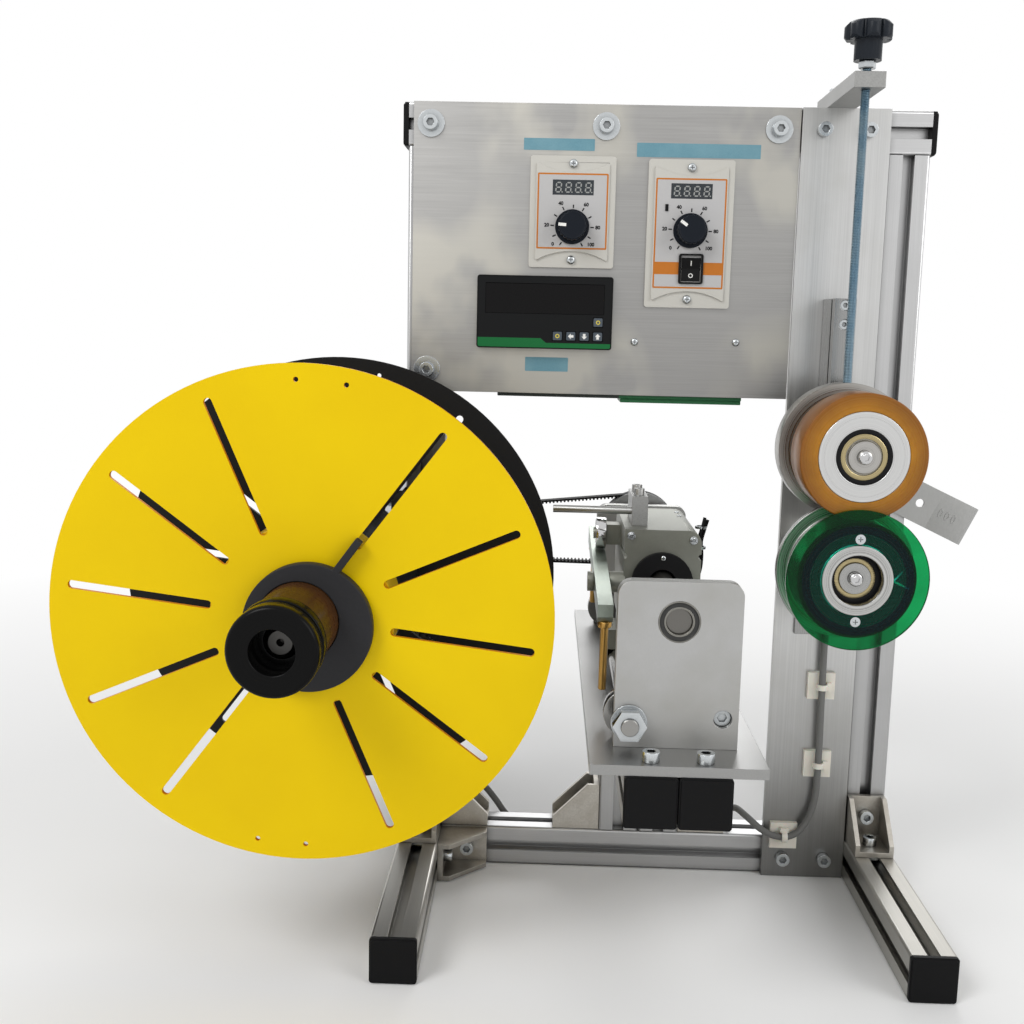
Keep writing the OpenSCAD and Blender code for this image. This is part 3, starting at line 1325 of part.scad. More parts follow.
at_origin() roller_bearings();
at_origin() metering_wheel();
at_origin() metering_disc();
at_origin() speed_knob();
at_origin() torque_knob();
at_origin() rocker();
at_origin() key_cap(0);  // key_set
at_origin() key_cap(1);  // key_left
at_origin() key_cap(2);  // key_down
at_origin() key_cap(3);  // key_up
at_origin() key_cap(4);  // key_reset
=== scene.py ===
"""Looks of the filament rewinder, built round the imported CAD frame. Drawing sizes are in millimetres."""

import math

import bmesh
import bpy
from mathutils import Matrix, Vector
from mathutils.geometry import tessellate_polygon


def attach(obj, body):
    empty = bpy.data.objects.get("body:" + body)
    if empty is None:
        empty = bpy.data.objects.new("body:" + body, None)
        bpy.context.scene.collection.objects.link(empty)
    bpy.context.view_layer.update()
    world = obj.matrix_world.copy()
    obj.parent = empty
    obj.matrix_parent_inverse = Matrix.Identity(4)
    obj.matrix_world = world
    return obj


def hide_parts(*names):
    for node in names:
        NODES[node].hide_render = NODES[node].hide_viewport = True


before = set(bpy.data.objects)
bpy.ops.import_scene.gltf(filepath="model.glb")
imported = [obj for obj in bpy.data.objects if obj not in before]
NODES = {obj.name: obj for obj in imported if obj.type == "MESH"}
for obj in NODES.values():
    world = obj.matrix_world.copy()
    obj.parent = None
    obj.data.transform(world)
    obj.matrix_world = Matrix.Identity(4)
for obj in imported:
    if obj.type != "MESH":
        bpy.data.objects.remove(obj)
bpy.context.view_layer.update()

# The CAD origin in the drawing's millimetres
ORIGIN_X, ORIGIN_Y = 113.74936571698626, -12.0


def place(x, y, z):
    """A drawing point in millimetres as a point of the row frame in metres."""
    return Vector(((x - ORIGIN_X) / 1000, (y - ORIGIN_Y) / 1000, z / 1000))


def srgb(r, g, b):
    """A colour on the 0 to 255 display scale as linear RGBA."""
    def lin(c):
        c /= 255
        return c / 12.92 if c <= 0.04045 else ((c + 0.055) / 1.055) ** 2.4
    return (lin(r), lin(g), lin(b), 1.0)


def new_object(name, data):
    """A new object in the scene."""
    obj = bpy.data.objects.new(name, data)
    bpy.context.scene.collection.objects.link(obj)
    return obj


# Camera, at the photograph's viewing angle
def make_camera():
    focal_px, image_px = 1218.4454714, 1024
    pitch, yaw, roll = 0.15111986653, 0.0252793593, 0.02262468534
    base = Matrix(((1, 0, 0), (0, 0, -1), (0, 1, 0)))
    turn_pitch = Matrix.Rotation(pitch, 3, "X")
    turn_yaw = Matrix.Rotation(yaw, 3, "Y")
    turn_roll = Matrix.Rotation(roll, 3, "Z")
    right, down, forward = turn_roll @ turn_pitch @ turn_yaw @ base
    data = bpy.data.cameras.new("camera")
    data.sensor_width = 36
    data.lens = data.sensor_width * focal_px / image_px
    data.clip_start, data.clip_end = 0.01, 100
    cam = new_object("camera", data)
    eye = place(100.9581916, -885.01457469, 408.22479238)
    cam.matrix_world = Matrix.Translation(eye) @ Matrix((right, -down, -forward)).transposed().to_4x4()
    bpy.context.scene.camera = cam


make_camera()


# Materials: every surface is a Principled shader driven by object-space noise
class Surface:
    """A node material with helpers that return node sockets."""

    def __init__(self, name, metal=0.0, **sockets):
        self.mat = bpy.data.materials.new(name)
        self.mat.use_nodes = True
        self.tree = self.mat.node_tree
        self.bsdf = self.tree.nodes["Principled BSDF"]
        self.bsdf.inputs["Metallic"].default_value = metal
        for key, value in sockets.items():
            self.bsdf.inputs[key.replace("_", " ")].default_value = value
        self.object = self.node("TexCoord").outputs["Object"]

    def node(self, kind, inputs=(), **props):
        """A new node with these properties; inputs are values or sockets to link."""
        made = self.tree.nodes.new("ShaderNode" + kind)
        for key, value in props.items():
            setattr(made, key, value)
        for key, value in dict(inputs).items():
            if hasattr(value, "is_output"):
                self.link(value, made.inputs[key])
            else:
                made.inputs[key].default_value = value
        return made

    def link(self, out, socket):
        self.tree.links.new(out, socket)

    def noise(self, scale, detail=3.0, shift=0.0):
        """Noise over object space; scale is per metre, one number or one per axis."""
        mapping = self.node("Mapping", {
            "Vector": self.object, "Location": (shift, shift * 0.7, shift * 1.3),
            "Scale": scale if hasattr(scale, "__len__") else (scale,) * 3})
        return self.node("TexNoise", {"Vector": mapping.outputs["Vector"], "Scale": 1.0, "Detail": detail,
                                      "Roughness": 0.55}).outputs["Fac"]

    def radius(self, x, z):
        """Distance from an axis along Y through a drawing point, in metres."""
        move = self.node("VectorMath", {0: self.object, 1: place(x, ORIGIN_Y, z)}, operation="SUBTRACT")
        flat = self.node("VectorMath", {0: move.outputs[0], 1: (1, 0, 1)}, operation="MULTIPLY")
        return self.node("VectorMath", {0: flat.outputs[0]}, operation="LENGTH").outputs["Value"]

    def lathe_noise(self, x, z, scale):
        """Noise that depends on the distance from an axis alone, as turning marks do."""
        return self.node("TexNoise", {"W": self.radius(x, z), "Scale": scale, "Detail": 3.0},
                         noise_dimensions="1D").outputs["Fac"]

    def along(self, axis):
        """Object coordinate on one axis, in metres."""
        return self.node("SeparateXYZ", {0: self.object}).outputs[axis]

    def remap(self, value, lo, hi, to_lo=0.0, to_hi=1.0):
        """Value moved from lo..hi to to_lo..to_hi, and held there."""
        return self.node("MapRange", enumerate((value, lo, hi, to_lo, to_hi))).outputs[0]

    def spread(self, noise, lo=0.0, hi=1.0):
        """Noise stretched from its usual range to lo..hi."""
        return self.remap(noise, 0.3, 0.7, lo, hi)

    def math(self, operation, a, b):
        return self.node("Math", {0: a, 1: b}, operation=operation).outputs[0]

    def blend(self, a, b, share):
        """Sum of two noises, with this share of the second."""
        return self.math("ADD", self.math("MULTIPLY", a, 1 - share), self.math("MULTIPLY", b, share))

    def mix(self, factor, a, b):
        """Colour mix; a and b are colours or sockets."""
        return self.node("Mix", {0: factor, 6: a, 7: b}, data_type="RGBA").outputs[2]

    def scale(self, color, value):
        """Colour times a factor socket."""
        return self.node("VectorMath", {0: color, "Scale": value}, operation="SCALE").outputs[0]

    def painted_crevice_shade(self, color, reach):
        """Painted shade: colour darkened by ambient occlusion where the surface lies in a slot, socket or corner."""
        made = self.node("AmbientOcclusion", {"Distance": reach}, samples=4)
        return self.scale(color, self.remap(made.outputs["AO"], 0.2, 0.9, 0.25, 1.0))

    def color(self, socket):
        self.link(socket, self.bsdf.inputs["Base Color"])

    def rough(self, noise, lo, hi):
        self.link(self.spread(noise, lo, hi), self.bsdf.inputs["Roughness"])

    def bump(self, noise, strength, distance):
        made = self.node("Bump", {"Height": noise, "Strength": strength, "Distance": distance})
        self.link(made.outputs[0], self.bsdf.inputs["Normal"])

    def finish(self, noise, gloss, strength, distance):
        """Gloss range and bump from one noise; returns the material."""
        self.rough(noise, *gloss)
        self.bump(noise, strength, distance)
        return self.mat


def shade(color, factor):
    """A lighter or darker tone of a colour."""
    return tuple(min(1.0, c * factor) for c in color[:3]) + (1.0,)


def textured(name, color, grain, rough, metal=0.0, vary=0.12, bump=0.1, depth=0.0003, haze=None, lift=None,
             reach=0.0, **sockets):
    """Base recipe: fine grain in colour, gloss and bump, with a slow haze over it.
    grain is noise scale per metre; haze is (scale, tint, share); the height range is (low mm, high mm, tone low,
    tone high), a painted shade that darkens the colour towards the bottom; reach is how deep painted shade darkens
    slots and corners, in metres."""
    s = Surface(name, metal=metal, **sockets)
    fine = s.noise(grain)
    base = s.mix(s.spread(fine), shade(color, 1 - vary), shade(color, 1 + vary))
    slow = s.noise(haze[0] if haze else 14, 4.0, shift=3.1)
    tint = haze[1] if haze else shade(color, 1 - vary)
    share = haze[2] if haze else 0.35
    toned = s.mix(s.remap(slow, 0.38, 0.68, 0.0, share), base, tint)
    # Painted shade: the colour darkens towards the bottom over the height range
    if lift:
        toned = s.scale(toned, s.remap(s.along("Z"), lift[0] / 1000, lift[1] / 1000, lift[2], lift[3]))
    # Painted shade in slots, sockets and corners
    if reach:
        toned = s.painted_crevice_shade(toned, reach)
    s.color(toned)
    s.rough(s.blend(fine, slow, 0.5), *rough)
    s.bump(fine, bump, depth)
    return s.mat


def turned(name, color, x, z, rough, metal=1.0, vary=0.14, **sockets):
    """Turned face: rings about an axis along Y."""
    s = Surface(name, metal=metal, **sockets)
    rings = s.lathe_noise(x, z, 900)
    s.color(s.mix(s.spread(rings), shade(color, 1 - vary), shade(color, 1 + vary)))
    return s.finish(rings, rough, 0.06, 0.0002)


# Axes along Y as drawing x and z: reel, traverse shaft, pressure roller above the metering wheel
REEL = (-40.0, 235.0)
SHAFT = (180.0, 245.3)
ROLLER_X, METER_Z, ROLLER_Z = 300.5, 254.7, 332.5
# Noise scales per metre: across and along a brushed or drawn surface
FINE, LONG = 1500, 9
BRUSHED_X, BRUSHED_Y, BRUSHED_Z = (LONG, FINE, FINE), (FINE, LONG, FINE), (FINE, FINE, LONG)

ALU, WARM_ALU = srgb(190, 190, 190), srgb(176, 174, 168)
METAL, DULL = {"metal": 1.0}, {"Specular_IOR_Level": 0.13}

# Finishes: look, material, colour, grain, gloss range, tone variation, bump, and what else the recipe takes
METALS = (
    # guide: painted shade darkens the plate towards the bottom
    ("guide", "guide_steel", (194, 194, 193), BRUSHED_Z, (0.27, 0.42), 0.08, 0.05,
     dict(depth=0.0002, haze=(12, srgb(172, 171, 166), 0.6), lift=(0, 190, 0.46, 1.0))),
    ("strip", "strip_aluminium", (160, 160, 158), (700, FINE, 260), (0.35, 0.48), 0.05, 0.04),
    ("bar", "bar_aluminium", (154, 154, 152), BRUSHED_Y, (0.30, 0.43), 0.12, 0.06),
    ("plate", "plate_milled", (178, 178, 177), (FINE, FINE, 500), (0.36, 0.5), 0.03, 0.03,
     dict(depth=0.0002, haze=(22, srgb(164, 163, 158), 0.7))),
    ("base", "base_milled", (158, 158, 157), (FINE, 60, FINE), (0.30, 0.42), 0.06, 0.04),
    # cast, zinc and rail carry painted shade in their slots, sockets and corners
    ("cast", "cast_aluminium", (192, 188, 180), 700, (0.32, 0.46), 0.10, 0.22,
     dict(haze=(60, srgb(164, 157, 146), 0.6), reach=0.01)),
    ("zinc", "zinc_bolts", (198, 202, 204), 700, (0.16, 0.28), 0.05, 0.02, dict(reach=0.006)),
    ("rod", "ground_rod", (152, 151, 148), (FINE, 400, FINE), (0.14, 0.26), 0.05, 0.02),
    ("dark_rod", "dark_rod", (112, 110, 106), (FINE, 400, FINE), (0.26, 0.4), 0.05, 0.02),
    ("rail", "ground_rail", (152, 152, 151), BRUSHED_Z, (0.22, 0.34), 0.08, 0.04, dict(reach=0.004)),
    ("housing", "milled_housing", (160, 162, 164), (FINE, 300, FINE), (0.34, 0.48), 0.06, 0.05),
    ("bearing", "bearing_steel", (140, 136, 126), 900, (0.22, 0.34), 0.05, 0.02),
    ("chrome", "bearing_chrome", (196, 196, 196), 900, (0.06, 0.14), 0.04, 0.01),
    ("lever", "zinc_lever", (142, 150, 140), (FINE, 30, FINE), (0.30, 0.45), 0.08, 0.05,
     dict(haze=(60, srgb(160, 170, 162), 0.6))),
    ("brass", "brass", (190, 150, 84), 900, (0.25, 0.38), 0.06, 0.03),
    ("screw", "blue_zinc", (120, 146, 162), (900, 900, 120), (0.22, 0.36), 0.08, 0.03,
     dict(depth=0.0002, haze=(50, srgb(152, 166, 172), 0.6))),
    ("pulley", "pulley_aluminium", (178, 178, 178), (FINE, 300, FINE), (0.28, 0.4), 0.06, 0.03),
)
DULL_FINISHES = (
    ("cap_black", "cap_plastic", (13, 13, 14), 2600, (0.42, 0.55), 0.10, 0.12, dict(depth=0.0002)),
    ("black", "black_plastic", (18, 18, 19), 1800, (0.34, 0.46), 0.10, 0.06, dict(depth=0.0002)),
    ("knob", "knob_plastic", (20, 25, 33), 1800, (0.34, 0.46), 0.10, 0.06, dict(depth=0.0002)),
    ("disc_black", "black_sheet", (26, 26, 27), 500, (0.40, 0.5), 0.08, 0.04),
    ("star", "star_plastic", (33, 37, 43), 2200, (0.30, 0.42), 0.08, 0.08, dict(depth=0.0002)),
    ("collar", "collar_plastic", (47, 47, 49), (700, 90, 700), (0.46, 0.58), 0.05, 0.08),
    ("belt", "belt_rubber", (24, 24, 24), 2000, (0.55, 0.7), 0.12, 0.2),
    ("meter", "meter_gloss", (20, 21, 22), 2600, (0.16, 0.26), 0.08, 0.02),
    ("lens", "meter_lens", (12, 11, 12), 2600, (0.08, 0.14), 0.08, 0.01),
    ("key", "key_plastic", (84, 92, 100), 2600, (0.34, 0.46), 0.05, 0.05),
    ("cable", "cable_sheath", (112, 112, 110), 1800, (0.42, 0.55), 0.05, 0.06),
    ("orange", "orange_ink", (192, 116, 46), 2200, (0.40, 0.5), 0.04, 0.03),
    ("ink", "black_ink", (24, 24, 26), 2200, (0.45, 0.55), 0.05, 0.02),
    ("window", "display_window", (58, 62, 66), 2400, (0.14, 0.22), 0.05, 0.01),
    ("band_green", "green_ink", (28, 108, 58), 2200, (0.20, 0.30), 0.06, 0.02),
    ("label", "label_film", (106, 148, 162), 900, (0.40, 0.5), 0.05, 0.03,
     dict(depth=0.0002, haze=(60, srgb(124, 162, 174), 0.5))),
    ("seal", "seal_rubber", (18, 18, 19), 1500, (0.45, 0.6), 0.10, 0.06),
)
OTHER_FINISHES = (
    ("carriage", "carriage_paint", (120, 121, 112), 1500, (0.34, 0.48), 0.05, 0.08,
     dict(metal=0.7, depth=0.0002, haze=(40, srgb(134, 136, 128), 0.5))),
    ("ivory", "ivory_plastic", (195, 193, 186), 2400, (0.36, 0.48), 0.02, 0.06, dict(depth=0.0002)),
    ("nylon", "nylon", (226, 222, 210), 1600, (0.34, 0.46), 0.02, 0.05,
     dict(Subsurface_Weight=0.15, Subsurface_Scale=0.002)),
    ("motor", "motor_paint", (40, 42, 46), 1100, (0.36, 0.5), 0.08, 0.14),
    ("face_grey", "unit_face", (184, 183, 183), 2200, (0.40, 0.5), 0.02, 0.03),
    ("white_ink", "white_ink", (236, 236, 232), 2200, (0.45, 0.55), 0.03, 0.02),
    ("segment", "display_segment", (150, 152, 150), 2400, (0.4, 0.5), 0.03, 0.01),
    ("yellow_ink", "yellow_ink", (214, 196, 70), 2200, (0.45, 0.55), 0.04, 0.02),
)
MATS = {}
for common, finishes in ((METAL, METALS), (DULL, DULL_FINISHES), ({}, OTHER_FINISHES)):
    for look, name, color, grain, rough, vary, bump, *more in finishes:
        MATS[look] = textured(name, srgb(*color), grain, rough, vary=vary, bump=bump, **common, **dict(*more))
# Anodised profiles: painted shade darkens the x and z bars towards the bottom, and painted shade fills their slots
for axis, scale, tone, lift in (("x", BRUSHED_X, ALU, (20, 530, 0.98, 1.0)), ("y", BRUSHED_Y, WARM_ALU, None),
                                ("z", BRUSHED_Z, ALU, (60, 420, 0.84, 1.0))):
    MATS["anodised_" + axis] = textured("anodised_" + axis, tone, scale, rough=(0.28, 0.40), metal=1.0, vary=0.06,
                                        bump=0.04, depth=0.0002, haze=(18, shade(tone, 0.86), 0.5), lift=lift,
                                        reach=0.006)
MATS.update(
    shield=turned("bearing_shield", srgb(170, 156, 118), ROLLER_X, ROLLER_Z, rough=(0.22, 0.34)),
    turned_roller=turned("turned_hub", srgb(198, 198, 197), ROLLER_X, ROLLER_Z, rough=(0.26, 0.38), vary=0.08),
    carrier=turned("turned_carrier", srgb(170, 168, 164), ROLLER_X, ROLLER_Z, rough=(0.26, 0.38), vary=0.08),
    turned_axle=turned("turned_axle", srgb(160, 160, 158), ROLLER_X, METER_Z, rough=(0.20, 0.32), vary=0.08),
    turned_cap=turned("cap_turned", srgb(11, 11, 11), *REEL, rough=(0.18, 0.26), metal=0.0, vary=0.08,
                      Specular_IOR_Level=0.09),
    shaft_end=turned("shaft_end", srgb(84, 83, 81), *REEL, rough=(0.34, 0.46), vary=0.10),
)


def shaft_bearing():
    """Bearing round the traverse shaft: steel races with a dark seal between them."""
    s = Surface("sealed_bearing", metal=0.8)
    fine = s.noise(1500)
    radius, seal_in, seal_out = s.radius(*SHAFT), 0.0087, 0.0113
    seal = s.math("MULTIPLY", s.math("GREATER_THAN", radius, seal_in), s.math("LESS_THAN", radius, seal_out))
    race = s.mix(s.spread(fine), srgb(120, 118, 112), srgb(136, 134, 128))
    s.color(s.mix(seal, race, srgb(62, 62, 61)))
    return s.finish(fine, (0.28, 0.42), 0.03, 0.0002)


def yellow_sheet():
    """Glossy yellow sheet whose cut edges and slot walls are a deeper orange."""
    s = Surface("yellow_sheet", Specular_IOR_Level=0.11)
    fine, slow = s.noise(420), s.noise(9, 3.0, shift=1.7)
    face = s.mix(s.remap(slow, 0.35, 0.7), srgb(234, 200, 3), srgb(228, 192, 4))
    geo = s.node("NewGeometry")
    split = s.node("SeparateXYZ", {0: geo.outputs["True Normal"]})
    flat = s.math("ABSOLUTE", split.outputs["Y"], 0.0)
    s.color(s.mix(s.remap(flat, 0.3, 0.8), srgb(214, 140, 8), face))
    s.rough(s.blend(fine, slow, 0.6), 0.30, 0.44)
    s.bump(fine, 0.05, 0.0003)
    return s.mat


def panel_sheet():
    """Brushed steel sheet with pale warm stains, and painted light that brightens it towards the top and towards the
    left.
    """
    s = Surface("panel_steel", metal=1.0)
    fine = s.noise((LONG * 2, FINE, FINE * 0.8))
    grain = s.mix(s.spread(fine), srgb(153, 152, 150), srgb(161, 160, 158))
    wide, blot = s.noise((9, 9, 7), 2.0, shift=4.7), s.noise((17, 17, 12), 3.0, shift=8.3)
    stain = s.math("MULTIPLY", s.remap(wide, 0.44, 0.54), s.remap(blot, 0.40, 0.54))
    toned = s.mix(s.math("MULTIPLY", stain, 0.62), grain, srgb(187, 184, 174))
    bottom, top, left, centre = 0.361, 0.540, -0.11, 0.03
    # Painted light: the sheet is lighter towards the top and towards the left
    painted_light_up = s.remap(s.along("Z"), bottom, top, 0.88, 1.05)
    painted_light_left = s.remap(s.along("X"), left, centre, 1.26, 1.0)
    s.color(s.scale(toned, s.math("MULTIPLY", painted_light_up, painted_light_left)))
    s.rough(s.blend(fine, blot, 0.5), 0.32, 0.48)
    s.bump(fine, 0.03, 0.0002)
    return s.mat


def mandrel_tube():
    """Brown tube, black inside."""
    s = Surface("mandrel_plastic", Specular_IOR_Level=0.2)
    fine, slow = s.noise(260), s.noise(18, 4.0, shift=3.1)
    brown = s.mix(s.remap(slow, 0.38, 0.68), srgb(78, 49, 23), srgb(50, 33, 20))
    bore_r = 0.0222
    s.color(s.mix(s.math("LESS_THAN", s.radius(*REEL), bore_r), brown, srgb(12, 12, 12)))
    return s.finish(fine, (0.24, 0.36), 0.03, 0.0003)


def reel_tube():
    """Winding core: yellow next to the front flange, with painted shade making it dark behind it."""
    s = Surface("reel_tube", Specular_IOR_Level=0.13)
    fine = s.noise(420)
    hub_back = place(0, -150.0, 0).y
    # Painted shade: the core is dark behind the hub, deep inside the reel
    hub = s.math("LESS_THAN", s.along("Y"), hub_back)
    shaded_core = s.mix(s.spread(fine), srgb(22, 22, 23), srgb(28, 28, 29))
    s.color(s.mix(hub, shaded_core, srgb(226, 190, 6)))
    return s.finish(fine, (0.36, 0.5), 0.05, 0.0003)


def driver_case():
    """Green module on a dark board that runs on behind the panel."""
    s = Surface("driver_case", Specular_IOR_Level=0.3)
    fine = s.noise(1800)
    case_left = place(154.0, 0, 0).x
    board = s.math("LESS_THAN", s.along("X"), case_left)
    case = s.mix(s.spread(fine), srgb(36, 104, 62), srgb(42, 114, 70))
    s.color(s.mix(board, case, srgb(44, 52, 48)))
    return s.finish(fine, (0.38, 0.52), 0.08, 0.0003)


def amber_tyre():
    """Translucent amber tyre, darker towards its edge."""
    s = Surface("amber_polyurethane", Subsurface_Weight=0.35, Subsurface_Scale=0.006, Specular_IOR_Level=0.3,
                Subsurface_Radius=(1.0, 0.6, 0.2))
    rings, slow = s.lathe_noise(ROLLER_X, ROLLER_Z, 700), s.noise(45, 3.0)
    core_r, tyre_r = 0.030, 0.040
    edge = s.remap(s.radius(ROLLER_X, ROLLER_Z), core_r, tyre_r)
    base = s.mix(edge, srgb(172, 116, 22), srgb(132, 82, 20))
    s.color(s.mix(s.remap(slow, 0.35, 0.7, 0.0, 0.5), base, srgb(122, 76, 20)))
    return s.finish(rings, (0.22, 0.36), 0.05, 0.0002)


def green_acrylic():
    """Clear green disc, teal with a dark ring where it lies on the wheel."""
    s = Surface("green_acrylic", Transmission_Weight=0.955, IOR=1.22)
    fine, slow = s.noise(1200), s.noise(60, 3.0)
    radius, field_r, ring_r = s.radius(ROLLER_X, METER_Z), 0.0302, 0.0352
    rim = s.mix(s.remap(slow, 0.35, 0.7), srgb(12, 160, 86), srgb(10, 142, 76))
    backed = s.mix(s.math("LESS_THAN", radius, field_r), srgb(24, 110, 116), srgb(26, 186, 148))
    s.color(s.mix(s.math("LESS_THAN", radius, ring_r), rim, backed))
    return s.finish(fine, (0.05, 0.12), 0.02, 0.0002)


def wheel_face():
    """Turned wheel; behind the disc its front face is pale, with a black ring at the rim."""
    s = Surface("metering_wheel", metal=1.0)
    rings = s.lathe_noise(ROLLER_X, METER_Z, 900)
    bright = s.mix(s.spread(rings), srgb(150, 150, 148), srgb(196, 196, 194))
    radius, hub_r, ring_r, front = s.radius(ROLLER_X, METER_Z), 0.0227, 0.0332, place(0, -123.0, 0).y
    backing = s.mix(s.math("GREATER_THAN", radius, ring_r), srgb(210, 226, 240), srgb(8, 10, 18))
    behind_disc = s.math("MULTIPLY", s.math("LESS_THAN", s.along("Y"), front),
                         s.math("GREATER_THAN", radius, hub_r))
    s.color(s.mix(behind_disc, bright, backing))
    return s.finish(rings, (0.24, 0.38), 0.06, 0.0002)


MATS.update(sealed=shaft_bearing(), yellow=yellow_sheet(), amber=amber_tyre(), tube=reel_tube(), panel=panel_sheet(),
            mandrel=mandrel_tube(), driver=driver_case(), green=green_acrylic(), wheel=wheel_face())

# Middles of the meter's keys, in the drawing's x and z
KEYS = {"key_set": (108.2, 402.2), "key_left": (117.7, 402.2), "key_down": (127.2, 402.2), "key_up": (136.7, 402.2),
        "key_reset": (136.7, 412.2)}

# Finish and edge rounding, in millimetres, of every CAD node
NODE_LOOKS = {
    "feet_rails": ("anodised_y", 0.35), "uprights": ("anodised_z", 0.35), "cross_bars": ("anodised_x", 0.35),
    "bed_beams": ("anodised_y", 0.35), "end_caps": ("cap_black", 1.8), "corner_brackets": ("cast", 0.7),
    "fasteners": ("zinc", 0.4), "base_plate": ("base", 0.5), "bearing_plates": ("plate", 0.6),
    "shaft_bearings": ("sealed", 0.3), "stop_rod": ("rod", 0.5), "drive_belt": ("belt", 0),
    "control_panel": ("panel", 0.4), "meter_body": ("meter", 0.5), "speed_controller": ("ivory", 0.5),
    "torque_controller": ("ivory", 0.5), "driver_module": ("driver", 0.6), "guide_plate": ("guide", 0.4),
    "slide_rail": ("rail", 0.4), "screw_bracket": ("bar", 0.6), "metering_axle": ("turned_axle", 0.4),
    "meter_sensor": ("rail", 0.4), "cable_mounts": ("nylon", 0.3), "guide_strip": ("strip", 0.4),
    "drive_housing": ("housing", 0.8), "gear_motor": ("motor", 1.5), "reel_shaft": ("shaft_end", 0.4),
    "mandrel": ("mandrel", 0.5), "mandrel_cap": ("turned_cap", 2.2), "rear_flange": ("disc_black", 0.4),
    "reel_core": ("tube", 0.3), "reel_pulley": ("pulley", 0), "front_flange": ("yellow", 0.5),
    "lock_collar": ("collar", 0.7), "traverse_shaft": ("dark_rod", 0.5), "traverse_pulley": ("pulley", 0),
    "carriage_housing": ("carriage", 0.8), "rolling_rings": ("seal", 0.3), "guide_arm": ("bar", 0.4),
    "follower_bearing": ("chrome", 0.5), "reversing_lever": ("lever", 0.7), "lever_strikers": ("brass", 0.4),
    "slide_block": ("rail", 0.6), "roller_carrier": ("carrier", 0.6), "roller_bearings": ("bearing", 0.3),
    "star_knob": ("star", 0.8), "roller_tyre": ("amber", 0.9), "roller_core": ("turned_roller", 0.5),
    "metering_wheel": ("wheel", 0.5), "metering_disc": ("green", 0.4), "speed_knob": ("knob", 0.4),
    "torque_knob": ("knob", 0.4), "rocker": ("black", 0.4), **dict.fromkeys(KEYS, ("key", 0.3)),
}


def round_edges(obj, width):
    """Modifiers that join the CAD facets into clean faces and round the sharp edges."""
    weld = obj.modifiers.new("weld", "WELD")
    weld.merge_threshold = 2e-6
    flat = obj.modifiers.new("flat", "DECIMATE")
    flat.decimate_type = "DISSOLVE"
    flat.angle_limit = math.radians(0.4)
    bevel = obj.modifiers.new("bevel", "BEVEL")
    bevel.width = width / 1000
    bevel.segments = 2
    bevel.limit_method = "ANGLE"
    bevel.angle_limit = math.radians(32)
    bevel.use_clamp_overlap = True
    bevel.harden_normals = True


def dress_nodes():
    """Finish and rounded edges for the CAD nodes."""
    for name, (look, width) in NODE_LOOKS.items():
        obj = NODES[name]
        for slot in obj.material_slots:
            slot.material = MATS[look]
        if width:
            round_edges(obj, width)


dress_nodes()


# Pieces: faces gathered in drawing millimetres, made into one object that rides on a body
def facing(x_axis, y_axis, z_axis):
    """Maker of placements whose local axes point along these drawing axes."""
    return lambda x, y, z: Matrix.Translation((x, y, z)) @ Matrix(
        (x_axis, y_axis, z_axis)).transposed().to_4x4()


to_front = facing((1, 0, 0), (0, 0, 1), (0, -1, 0))
to_back = facing((-1, 0, 0), (0, 0, 1), (0, 1, 0))
to_up = facing((1, 0, 0), (0, 1, 0), (0, 0, 1))


def circle(r, n=40, x=0.0, y=0.0, start=0.0):
    return [(x + r * math.cos(start + 2 * math.pi * i / n), y + r * math.sin(start + 2 * math.pi * i / n))
            for i in range(n)]


def rect(x0, y0, x1, y1, r=0.0):
    """Rectangle outline with rounded corners."""
    if r <= 0:
        return [(x0, y0), (x1, y0), (x1, y1), (x0, y1)]
    points, steps = [], 5
    for cx, cy, a in ((x1 - r, y1 - r, 0), (x0 + r, y1 - r, 90), (x0 + r, y0 + r, 180), (x1 - r, y0 + r, 270)):
        for i in range(steps + 1):
            t = math.radians(a + 90 * i / steps)
            points.append((cx + r * math.cos(t), cy + r * math.sin(t)))
    return points


def cross_outline(arm, width):
    """Outline of a cross recess."""
    a, w = arm, width / 2
    return [(w, w), (a, w), (a, -w), (w, -w), (w, -a), (-w, -a), (-w, -w), (-a, -w), (-a, w), (-w, w), (-w, a),
            (w, a)]


def smooth_path(points, steps=4):
    """Catmull-Rom points through a route."""
    made = []
    for i in range(len(points) - 1):
        p0, p1, p2, p3 = points[max(i - 1, 0)], points[i], points[i + 1], points[min(i + 2, len(points) - 1)]
        for k in range(steps):
            t = k / steps
            made.append(0.5 * (2 * p1 + (p2 - p0) * t + (2 * p0 - 5 * p1 + 4 * p2 - p3) * t * t
                               + (3 * p1 - p0 - 3 * p2 + p3) * t ** 3))
    return made + [points[-1]]


